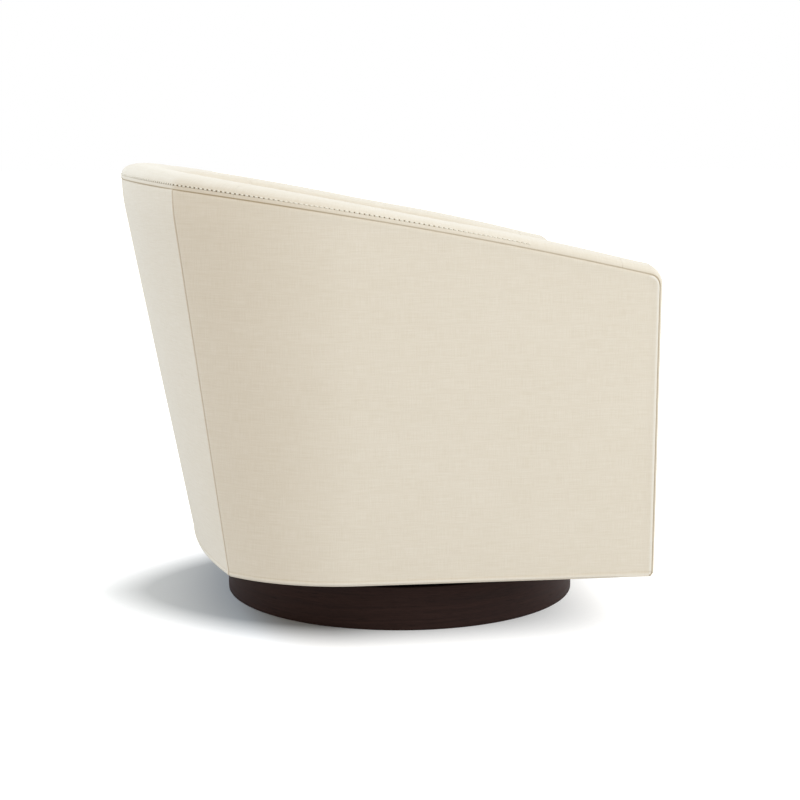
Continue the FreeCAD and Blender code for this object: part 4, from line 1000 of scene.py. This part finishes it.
def insideSurface(low, high, side, belly):
    def surface(c, r):
        share = mix(low, high, c)

        def rimPoint(z):
            return roomPoint(z, share)[0].y

        _, topZ = levelOnRim(rimPoint)
        z = mix(inside["foot"], topZ, r)
        point, along = roomPoint(z, share)
        ahead, _ = roomPoint(z, min(share + 0.002, 1.0))
        behind, _ = roomPoint(z, max(share - 0.002, 0.0))
        tangent = (ahead - behind).normalized()
        inwards = Vector((tangent.y, -tangent.x, 0))
        seamGap = abs(share - (high if low <= 0.0 else low)) * inside["length"]
        topGap = (topZ - z) * 0.97
        across = smooth(*inside["fillAt"], seamGap)
        if high >= 1.0:
            across *= smooth(*inside["frontFillAt"], (1 - share) * inside["length"])
        lift = belly * across * math.sin(math.pi * r) ** 0.6
        lift += groove(seamGap) + groove(topGap)
        lift += ripple((point.x, point.y, z + 5 * side), 8.0, inside["ripple"]) * across
        point = point + inwards * lift
        point.x *= side
        # the third value is painted shade along the seams
        return point, (side * along, z), max(shadeAt(seamGap), shadeAt(topGap))

    return surface


def insideBackSurface(c, r):
    share = 2 * c - 1
    half = insideSurface(0.0, inside["seamTurn"], 1 if share >= 0 else -1, inside["belly"])
    return half(abs(share), r)


def makeInside():
    rows = spacing(0.33, step=0.010)
    columns = spacing(0.74, step=0.010)
    back = clothPanel("insideBack", insideBackSurface, columns, rows, inside["thickness"], linenCloth)
    dress(faceOutwards(back), "inside_back_cover", "inside_back_pad", fill=0.7)
    for name, side in (("left", 1), ("right", -1)):
        columns = spacing(0.56, step=0.010)
        surface = insideSurface(inside["seamTurn"], 1.0, side, inside["armBelly"])
        arm = clothPanel(f"insideArm_{name}", surface, columns, rows, side * inside["thickness"], linenCloth)
        dress(faceOutwards(arm), f"inside_arm_cover_{name}", f"inside_arm_pad_{name}", fill=0.6)


makeInside()
print("inside panels made")

# Seat cushion, made with a cloth simulation, and its piping

cushion = {
    "low": 0.317,
    "levels": ((0.0, 0.012), (0.012, 0.002), (0.03, 0.0), (0.06, 0.0), (0.085, 0.002), (0.101, 0.014)),
    "inset": 0.010,
    "front": 0.301,
    "corner": 0.040,
    "voxel": 0.006,
    "pressure": 4.0,
    "frames": 20,
    "cap": 0.024,
    "clear": 0.0015,
    "pipeRadius": 0.0032,
    "pipeShade": 0.75,
    "pipeShadeWidth": 0.0035,
    "edgeHigh": 0.412,
    "edgeLow": 0.328,
    "crown": 0.010,
}


def cushionOutline(z, inset, front):
    # a closed loop of points: the room's outline drawn in, with rounded front corners
    corner = cushion["corner"]
    length = roomPoint(z, 1.0, -inset)[1]
    last = 1 - (shell["front"] - front + corner) / length
    right = [roomPoint(z, last * i / 46, -inset)[0] for i in range(47)]
    width = right[-1].x
    for i in range(1, 9):
        turn = math.pi / 2 * i / 8
        x, y = width - corner * (1 - math.cos(turn)), corner * (1 - math.sin(turn)) - front
        right.append(Vector((x, y, z)))
    right += [Vector((mix(width - corner, 0, i / 10), -front, z)) for i in range(1, 11)]
    left = [Vector((-p.x, p.y, p.z)) for p in reversed(right[1:-1])]
    return right + left


def cushionBase():
    rings = [
        cushionOutline(cushion["low"] + h, cushion["inset"] + drawn, cushion["front"] - drawn)
        for h, drawn in cushion["levels"]
    ]
    count = len(rings[0])
    none = [[(0.0, 0.0)] * count] * len(rings)
    return ringPiece("seatCushion", rings, none, [[0.0] * count] * len(rings), linenCloth)


def puffCushion(piece):
    remesh = piece.modifiers.new("voxels", "REMESH")
    remesh.mode = "VOXEL"
    remesh.voxel_size = cushion["voxel"]
    bakeModifiers(piece)
    start = [v.co.copy() for v in piece.data.vertices]
    cloth = piece.modifiers.new("stuffing", "CLOTH")
    cloth.settings.use_pressure = True
    cloth.settings.uniform_pressure_force = cushion["pressure"]
    cloth.settings.effector_weights.gravity = 0
    cloth.settings.quality = 5
    cloth.point_cache.frame_start = 1
    cloth.point_cache.frame_end = cushion["frames"]
    for number in range(1, cushion["frames"] + 1):
        bpy.context.scene.frame_set(number)
    bakeModifiers(piece)
    bpy.context.scene.frame_set(1)
    for vertex, origin in zip(piece.data.vertices, start):
        moved = vertex.co - origin
        if moved.length > cushion["cap"]:
            moved *= cushion["cap"] / moved.length
        spot = origin + moved
        spot.z = max(spot.z, room["deck"] + 0.001)
        limit = roomSide(spot.y, spot.z) - cushion["clear"] if spot.y < 0.1 else 1.0
        spot.x = min(max(spot.x, -limit), limit)
        spot.y = min(spot.y, roomBack(spot.x, min(spot.z, 0.42)) - cushion["clear"])
        spot.y = max(spot.y, -shell["front"] + 0.004)
        vertex.co = spot
    return piece


def crownCushion(piece):
    # the fibre wrap's own crown, highest in the middle of the seat
    top = max(v.co.z for v in piece.data.vertices)
    for vertex in piece.data.vertices:
        x, y, z = vertex.co
        if z > cushion["low"] + 0.07:
            across = max(1 - (x / 0.31) ** 2, 0.0)
            along = max(1 - ((y + 0.03) / 0.30) ** 2, 0.0)
            vertex.co.z = z + cushion["crown"] * math.sqrt(across * along) * smooth(0.38, top, z)


def clothCoordinates(piece):
    # cloth coordinates for a piece with no seams of its own: plan on top, round the sides elsewhere
    mesh = piece.data
    layer = mesh.uv_layers.get("weave") or mesh.uv_layers.new(name="weave")
    for polygon in mesh.polygons:
        normal = polygon.normal
        for index in polygon.loop_indices:
            x, y, z = mesh.vertices[mesh.loops[index].vertex_index].co
            if abs(normal.z) > 0.7:
                layer.data[index].uv = (x, y)
            elif abs(normal.x) > abs(normal.y):
                layer.data[index].uv = (y, z)
            else:
                layer.data[index].uv = (x, z)
    if "seamShade" not in mesh.attributes:
        mesh.attributes.new("seamShade", "FLOAT", "POINT")
    mesh.polygons.foreach_set("use_smooth", [True] * len(mesh.polygons))


def makeCushion():
    piece = puffCushion(cushionBase())
    crownCushion(piece)
    subdivide = piece.modifiers.new("smoothing", "SUBSURF")
    subdivide.levels = 1
    subdivide.render_levels = 1
    bakeModifiers(piece)
    surface = BVHTree.FromObject(piece, bpy.context.evaluated_depsgraph_get())
    pipes = []
    for name, level in (("High", cushion["edgeHigh"]), ("Low", cushion["edgeLow"])):
        loop = cushionOutline(level, cushion["inset"] + 0.004, cushion["front"] - 0.004)
        onCloth = []
        for p in loop:
            spot, normal, _, _ = surface.find_nearest(p + Vector((0, 0, 0.02 if name == "High" else -0.004)))
            onCloth.append(spot + normal * cushion["pipeRadius"] * 0.35)
        pipe = cordAlong(f"cushionPiping{name}", onCloth, cushion["pipeRadius"], linenCloth, 10, True)
        pipes.append((pipe, onCloth))
    clothCoordinates(piece)
    beside = KDTree(sum(len(loop) for _, loop in pipes) * 8)
    for _, loop in pipes:
        for p, q in zip(loop, loop[1:] + loop[:1]):
            for i in range(8):
                beside.insert(p.lerp(q, i / 8), 0)
    beside.balance()
    # painted shade on the cushion's cloth beside its piping
    shades = []
    for vertex in piece.data.vertices:
        gap = beside.find(vertex.co)[2] - cushion["pipeRadius"]
        shades.append(cushion["pipeShade"] * bell(max(gap, 0.0), cushion["pipeShadeWidth"]))
    piece.data.attributes["seamShade"].data.foreach_set("value", shades)
    dress(piece, "seat_cushion_cover", "seat_cushion_core", fill=0.8)
    for pipe, _ in pipes:
        dress(pipe, "seat_cushion_cover")


makeCushion()
print("seat cushion made")

# Front rail, seat deck and the piping along the bottom edge

frontRail = {
    "half": 0.3115,
    "face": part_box("front_rail_cover")[0].y + 0.0005,
    "top": 0.3150,
    "lip": 0.012,
    "behind": 0.052,
    "belly": 0.0030,
    "thickness": 0.005,
}


def frontRailSurface(c, r):
    # up the face of the rail, over its rounded lip and back on to the deck
    x = frontRail["half"] * (2 * c - 1)
    lip = frontRail["lip"]
    faceHeight = frontRail["top"] - lip - shell["bottom"]
    turned = lip * math.pi / 2
    along = r * (faceHeight + turned + frontRail["behind"])
    sideGap = frontRail["half"] - abs(x)
    lift = frontRail["belly"] * smooth(0, 0.05, sideGap) * math.sin(math.pi * min(along / faceHeight, 1)) ** 0.5
    lift += groove(sideGap) + ripple((x, 0, along), 8.0, 0.0008)
    if along <= faceHeight:
        point = Vector((x, frontRail["face"] - lift, shell["bottom"] + along))
    elif along <= faceHeight + turned:
        turn = (along - faceHeight) / lip
        reach = lip + lift
        y, z = frontRail["face"] + lip - reach * math.cos(turn), frontRail["top"] - lip + reach * math.sin(turn)
        point = Vector((x, y, z))
    else:
        behind = along - faceHeight - turned
        point = Vector((x, frontRail["face"] + lip + behind, frontRail["top"] + lift * 0.3))
    # the third value is painted shade along the side seams
    return point, (x, along), shadeAt(sideGap)


deck = {"half": 0.306, "front": -0.262, "clear": 0.004, "drop": 0.0025, "thickness": 0.018}


def deckSurface(c, r):
    x = deck["half"] * (2 * c - 1)
    back = roomBack(min(abs(x), deck["half"] * 0.985), room["deck"])
    y = mix(deck["front"], back - deck["clear"], r)
    return (x, y, room["deck"] - deck["drop"]), (x, y), 0.0


def bottomPath(side):
    # along the bottom edge, from the middle of the back to the arm's front corner
    z = shell["bottom"]
    o = outerOutline(z)
    points = [Vector((o["corner"][0] * i / 40, outerBack(o["corner"][0] * i / 40, z), z)) for i in range(41)]
    reach = o["corner"][1] + shell["front"]
    for i in range(1, 91):
        y = o["corner"][1] - (reach - shell["toe"]) * i / 90
        points.append(Vector((outerSide(y, z), y, z)))
    return [Vector((p.x * side, p.y, p.z)) for p in points]


piping = {"radius": 0.0018, "drawnIn": 0.0050, "backDrawnIn": 0.0022, "half": 0.4}


def makeLowerTrim():
    columns, rows = spacing(2 * frontRail["half"], step=0.012), [i / 48 for i in range(49)]
    rail = clothPanel("frontRailPad", frontRailSurface, columns, rows, frontRail["thickness"], linenCloth)
    dress(faceOutwards(rail), "front_rail_cover", fill=0.5)
    shares = [i / 40 for i in range(41)]
    pad = clothPanel("seatDeck", deckSurface, shares, shares, deck["thickness"], linenCloth)
    dress(faceOutwards(pad), "deck_pad", fill=0.4)
    radius, half = piping["radius"], piping["half"]
    right, left = bottomPath(1), bottomPath(-1)
    drop = Vector((0, 0, -radius * 0.4))
    loop = [p + drop for p in reversed(left[1:])] + [p + drop for p in right]
    for p in loop:
        p.x *= 1 - piping["drawnIn"]
        p.y -= piping["backDrawnIn"] * smooth(0.1, 0.3, p.y)
    dress(cordAlong("bottomPiping", loop, radius, linenCloth, 10), "bottom_welt")
    edge = (frontRail["face"] - 0.0006, shell["bottom"] + drop.z)
    front = [Vector((mix(-half, half, i / 60), *edge)) for i in range(61)]
    dress(cordAlong("frontPiping", front, radius, linenCloth, 10), "bottom_welt")


makeLowerTrim()
print("front rail, deck and piping made")

# Topstitching, laid along the band by geometry nodes

stitching = {
    "gap": 0.0066,
    "pitch": 0.0070,
    "length": 0.0044,
    "radius": 0.0010,
    "lift": 0.0003,
    "wander": 0.06,
    # sizes of the dark painted shade marks in the needle holes; they grow between holeFront and holeRear
    "hole": (0.00055, 0.00115),
    "holeFront": (-0.05, 0.02),  # the holes open from here
    "holeRear": (0.17, 0.11),  # and close again behind
    # the half width, start and lift of the painted shade strip under the stitches
    "shadeHalf": 0.0010,
    "shadeFrom": (0.16, 0.30),
    "shadeLift": 0.0001,
}

octahedron = [(1, 0, 0), (-1, 0, 0), (0, 1, 0), (0, -1, 0), (0, 0, 1), (0, 0, -1)]
octahedronFaces = [(0, 2, 4), (2, 1, 4), (1, 3, 4), (3, 0, 4), (2, 0, 5), (1, 2, 5), (3, 1, 5), (0, 3, 5)]


def spots(line, pitch, start):
    # points at even distances along a line
    found, ahead = [], start
    for a, b in zip(line, line[1:]):
        length = (b - a).length
        while ahead < length:
            found.append(a.lerp(b, ahead / length))
            ahead += pitch
        ahead -= length
    return found



def stitchShape(name, length, radius, material):
    mesh = bmesh.new()
    bmesh.ops.create_uvsphere(mesh, u_segments=6, v_segments=5, radius=radius)
    for vertex in mesh.verts:
        vertex.co.z += math.copysign((length / 2 - radius), vertex.co.z) if abs(vertex.co.z) > 1e-6 else 0.0
    shape = bpy.data.meshes.new(name)
    mesh.to_mesh(shape)
    mesh.free()
    shape.materials.append(material)
    return bpy.data.objects.new(name, shape)


def stitchTree(name, shape, material):
    tree = bpy.data.node_groups.new(name, "GeometryNodeTree")
    face = tree.interface
    face.new_socket("Geometry", in_out="INPUT", socket_type="NodeSocketGeometry")
    pitch = face.new_socket("Pitch", in_out="INPUT", socket_type="NodeSocketFloat")
    wander = face.new_socket("Wander", in_out="INPUT", socket_type="NodeSocketFloat")
    face.new_socket("Geometry", in_out="OUTPUT", socket_type="NodeSocketGeometry")
    add = tree.nodes.new
    start, end = add("NodeGroupInput"), add("NodeGroupOutput")
    points = add("GeometryNodeCurveToPoints")
    points.mode = "LENGTH"
    source = add("GeometryNodeObjectInfo")
    source.inputs["Object"].default_value = shape
    place = add("GeometryNodeInstanceOnPoints")
    sway = add("FunctionNodeRandomValue")
    sway.data_type = "FLOAT_VECTOR"
    sway.inputs["Seed"].default_value = 7
    turn = add("FunctionNodeRotateRotation")
    turn.rotation_space = "LOCAL"
    scale = add("ShaderNodeVectorMath")
    scale.operation = "SCALE"
    spin = add("FunctionNodeEulerToRotation")
    realize, paint = add("GeometryNodeRealizeInstances"), add("GeometryNodeSetMaterial")
    paint.inputs["Material"].default_value = material
    sway.inputs[0].default_value = (-1, -1, -1)
    sway.inputs[1].default_value = (1, 1, 1)
    link = tree.links.new
    link(start.outputs["Geometry"], points.inputs["Curve"])
    link(start.outputs["Pitch"], points.inputs["Length"])
    link(points.outputs["Points"], place.inputs["Points"])
    link(source.outputs["Geometry"], place.inputs["Instance"])
    link(sway.outputs["Value"], scale.inputs[0])
    link(start.outputs["Wander"], scale.inputs["Scale"])
    link(scale.outputs["Vector"], spin.inputs["Euler"])
    link(points.outputs["Rotation"], turn.inputs["Rotation"])
    link(spin.outputs["Rotation"], turn.inputs["Rotate By"])
    link(turn.outputs["Rotation"], place.inputs["Rotation"])
    link(place.outputs["Instances"], realize.inputs["Geometry"])
    link(realize.outputs["Geometry"], paint.inputs["Geometry"])
    link(paint.outputs["Geometry"], end.inputs["Geometry"])
    return tree, {"Pitch": pitch.identifier, "Wander": wander.identifier}


def seamCurve(name, points):
    data = bpy.data.curves.new(name, "CURVE")
    data.dimensions = "3D"
    spline = data.splines.new("POLY")
    spline.points.add(len(points) - 1)
    for target, p in zip(spline.points, points):
        target.co = (*p, 1.0)
    return placed(name, data)


def stitchRow(name, points, shape, material):
    curve = seamCurve(name + "Line", points)
    tree, sockets = stitchTree(name + "Tree", shape, material)
    modifier = curve.modifiers.new("stitches", "NODES")
    modifier.node_group = tree
    modifier[sockets["Pitch"]] = stitching["pitch"]
    modifier[sockets["Wander"]] = stitching["wander"]
    depsgraph = bpy.context.evaluated_depsgraph_get()
    mesh = bpy.data.meshes.new_from_object(
        curve.evaluated_get(depsgraph), preserve_all_data_layers=True, depsgraph=depsgraph
    )
    mesh.polygons.foreach_set("use_smooth", [True] * len(mesh.polygons))
    bpy.data.objects.remove(curve)
    return placed(name, mesh)


def bandLine(station, gap, lift):
    # the point of the band's surface at a distance from its outer seam
    points, widths, _ = bandSection(station)
    for k in range(1, bandEdge):
        if widths[k] >= gap:
            share = (gap - widths[k - 1]) / (widths[k] - widths[k - 1])
            spot = points[k - 1].lerp(points[k], share)
            across = (points[k] - points[k - 1]).normalized()
            outwards = (station["outer"] - station["inner"]).normalized()
            normal = (station["up"] * outwards.dot(-across) + outwards * station["up"].dot(across)).normalized()
            return spot + normal * lift
    return points[0]


def makeStitches():
    half = [s for s in halfPath if s["along"] <= alongAt(band["stitchEnd"])]
    whole = [mirrored(s) for s in reversed(half[1:])] + half
    line = [bandLine(s, stitching["gap"], stitching["lift"]) for s in whole]
    thread = stitchShape("threadShape", stitching["length"], stitching["radius"], threadCloth)
    dress(stitchRow("bandTopstitch", line, thread, threadCloth), slot="linen")
    # painted shade: a dark strip under the stitches behind the corners, for the shadow of their row
    lower, upper = [], []
    for station in whole:
        wide = stitching["shadeHalf"] * smooth(*stitching["shadeFrom"], station["outer"].y)
        if wide > 0:
            lower.append(bandLine(station, stitching["gap"] - wide, stitching["shadeLift"]))
            upper.append(bandLine(station, stitching["gap"] + wide, stitching["shadeLift"]))
    count = len(lower)
    faces = [(i, count + i, count + i + 1, i + 1) for i in range(count - 1)]
    dress(plainPiece("bandStitchShade", lower + upper, faces, holeShade), slot="linen")
    # painted shade: small dark marks in the needle holes between the stitches, bigger along the middle of the
    # arms
    corners, faces = [], []
    for spot in spots(line, stitching["pitch"], stitching["pitch"] / 2):
        opened = smooth(*stitching["holeFront"], spot.y) * smooth(*stitching["holeRear"], spot.y)
        size = mix(*stitching["hole"], opened)
        base = len(corners)
        corners += [spot + Vector(step) * size for step in octahedron]
        faces += [tuple(base + k for k in face) for face in octahedronFaces]
    dress(plainPiece("bandNeedleHoles", corners, faces, holeShade), slot="linen")


makeStitches()
print("stitches made")

# The plinth's veneered ring

plinth = {
    "radius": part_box("plinth_ring")[1].x,
    "top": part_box("plinth_ring")[1].z,
    "wall": 0.018,
    "ease": 0.0022,
    "easeTurns": (0.4, 0.8, 1.2),
    "segments": 192,
}


def makePlinthRing():
    outer, inner, top, ease = plinth["radius"], plinth["radius"] - plinth["wall"], plinth["top"], plinth["ease"]
    easeTurns = plinth["easeTurns"]
    profile = [(inner, 0.0), (outer - ease, 0.0)]
    profile += [(outer - ease + ease * math.sin(a), ease - ease * math.cos(a)) for a in easeTurns]
    profile += [(outer, ease)]
    profile += [(outer, mix(ease, top - ease, i / 8)) for i in range(1, 9)]
    profile += [(outer - ease + ease * math.cos(a), top - ease + ease * math.sin(a)) for a in easeTurns]
    profile += [(outer - ease, top), (inner, top)]
    heights = [0.0]
    for (r0, z0), (r1, z1) in zip(profile, profile[1:]):
        heights.append(heights[-1] + math.hypot(r1 - r0, z1 - z0))
    count = len(profile)
    vertices, faces = [], []
    for i in range(plinth["segments"]):
        turn = 2 * math.pi * i / plinth["segments"]
        vertices += [(r * math.cos(turn), r * math.sin(turn), z) for r, z in profile]
    for i in range(plinth["segments"]):
        n = (i + 1) % plinth["segments"]
        for j in range(count):
            k = (j + 1) % count
            faces.append((i * count + j, n * count + j, n * count + k, i * count + k))
    mesh = bpy.data.meshes.new("plinthRing")
    mesh.from_pydata(vertices, [], faces)
    layer = mesh.uv_layers.new(name="weave")
    for polygon in mesh.polygons:
        last = polygon.index // count == plinth["segments"] - 1
        for index in polygon.loop_indices:
            vertex = mesh.loops[index].vertex_index
            step, height = divmod(vertex, count)
            if last and step == 0:
                step = plinth["segments"]
            layer.data[index].uv = (2 * math.pi * outer * step / plinth["segments"], heights[height])
    mesh.polygons.foreach_set("use_smooth", [True] * len(mesh.polygons))
    mesh.materials.append(espressoVeneer)
    dress(faceOutwards(placed("plinthRing", mesh)), "plinth_ring", slot="dark_veneer")


makePlinthRing()
print("plinth made")

# Floor, lights and camera

studio = {
    "cameraAt": (-2.678, 0.342, 0.7286),
    "lookAlong": (0.9801, -0.1254, -0.1539),
    "lens": 74.5,
    "worldLevel": 0.92,
    "worldColour": (1.0, 0.925, 0.81),
    "floorColour": 0.62,
    # the outline of the painted shadow: past it the floor glows white for the camera
    "paintedShadowCentre": (0.0, 0.10),
    "paintedShadowReach": (0.285, 0.362),
    "paintedShadowBend": (5.0, 1.6),
    "glowFrom": (0.55, 0.88),
    "glowTo": 1.38,
    "floorHalf": 40,
    "sensor": 36,
}
# place, target, size, watts and colour
lamps = {
    "keyLight": ((-2.6, -3.5, 1.3), (0, 0, 0.35), 1.8, 70, (0.78, 0.90, 1.0)),
    "backLight": ((1.4, 3.0, 3.1), (0, 0.2, 0.4), 1.8, 72, (0.54, 0.76, 1.0)),
    "topLight": ((0.0, -0.2, 3.6), (0, 0, 0.3), 2.6, 15, (0.30, 0.62, 1.0)),
}


def seenDirectly(tree):
    # 1 for what the camera sees itself or in a mirror or through glass
    seen = addNode(tree, "ShaderNodeLightPath")
    mirrored = mathValue(tree, "MAXIMUM", seen.outputs["Is Glossy Ray"], seen.outputs["Is Transmission Ray"])
    return mathValue(tree, "MAXIMUM", seen.outputs["Is Camera Ray"], mirrored)


def makeFloor():
    material, tree, shader = startMaterial("palePaper")
    level = studio["floorColour"]
    shader.inputs["Base Color"].default_value = (level, level, level, 1)
    shader.inputs["Roughness"].default_value = 0.9
    shader.inputs["Specular IOR Level"].default_value = 0.0
    centred = addNode(tree, "ShaderNodeMapping")
    (cx, cy), (rx, ry) = studio["paintedShadowCentre"], studio["paintedShadowReach"]
    centred.inputs["Location"].default_value = (-cx / rx, -cy / ry, 0)
    centred.inputs["Scale"].default_value = (1 / rx, 1 / ry, 1)
    tree.links.new(addNode(tree, "ShaderNodeTexCoord").outputs["Object"], centred.inputs["Vector"])
    # the floor glows white for the camera past a painted outline of the shadow, round behind the chair and
    # square in front; inside it the floor keeps its lit shading
    axes = addNode(tree, "ShaderNodeSeparateXYZ")
    tree.links.new(centred.outputs["Vector"], axes.inputs[0])
    behind = mathValue(tree, "GREATER_THAN", axes.outputs["Y"], 0.0)
    bend = ranged(tree, behind, 0, 1, *studio["paintedShadowBend"])
    across = mathValue(tree, "POWER", mathValue(tree, "ABSOLUTE", axes.outputs["X"], 0), bend)
    along = mathValue(tree, "POWER", mathValue(tree, "ABSOLUTE", axes.outputs["Y"], 0), bend)
    away = mathValue(tree, "POWER", mathValue(tree, "ADD", across, along), mathValue(tree, "DIVIDE", 1.0, bend))
    glowFrom = ranged(tree, axes.outputs["Y"], -0.9, 0.1, *studio["glowFrom"])
    span = mathValue(tree, "SUBTRACT", studio["glowTo"], glowFrom)
    spread = mathValue(tree, "DIVIDE", mathValue(tree, "SUBTRACT", away, glowFrom), span, clamp=True)
    glow = mathValue(tree, "MULTIPLY", seenDirectly(tree), spread)
    shader.inputs["Emission Color"].default_value = (1, 1, 1, 1)
    tree.links.new(glow, shader.inputs["Emission Strength"])
    half = studio["floorHalf"]
    corners = [(-half, -half, 0), (half, -half, 0), (half, half, 0), (-half, half, 0)]
    plainPiece("studioFloor", corners, [(0, 1, 2, 3)], material)


def makeWorld():
    world = bpy.data.worlds.new("paleRoom")
    world.use_nodes = True
    bpy.context.scene.world = world
    tree = world.node_tree
    background = tree.nodes["Background"]
    seen = seenDirectly(tree)
    tree.links.new(mixColour(tree, seen, studio["worldColour"], (1.0, 1.0, 1.0)), background.inputs["Color"])
    level = ranged(tree, seen, 0, 1, studio["worldLevel"], 1.0)
    tree.links.new(level, background.inputs["Strength"])


def aim(thing, place, along):
    thing.location = place
    thing.rotation_mode = "QUATERNION"
    thing.rotation_quaternion = along.to_track_quat("-Z", "Y")


def areaLight(name, place, target, size, power, colour):
    data = bpy.data.lights.new(name, "AREA")
    data.shape = "DISK"
    data.size = size
    data.energy = power
    data.color = colour
    aim(placed(name, data), place, Vector(target) - Vector(place))


def makeCamera():
    data = bpy.data.cameras.new("camera")
    data.lens = studio["lens"]
    data.sensor_width = studio["sensor"]
    camera = placed("camera", data)
    aim(camera, studio["cameraAt"], Vector(studio["lookAlong"]))
    bpy.context.scene.camera = camera


makeFloor()
makeWorld()
for name, settings in lamps.items():
    areaLight(name, *settings)
makeCamera()
bpy.context.scene.view_settings.view_transform = "Standard"
print("studio made")
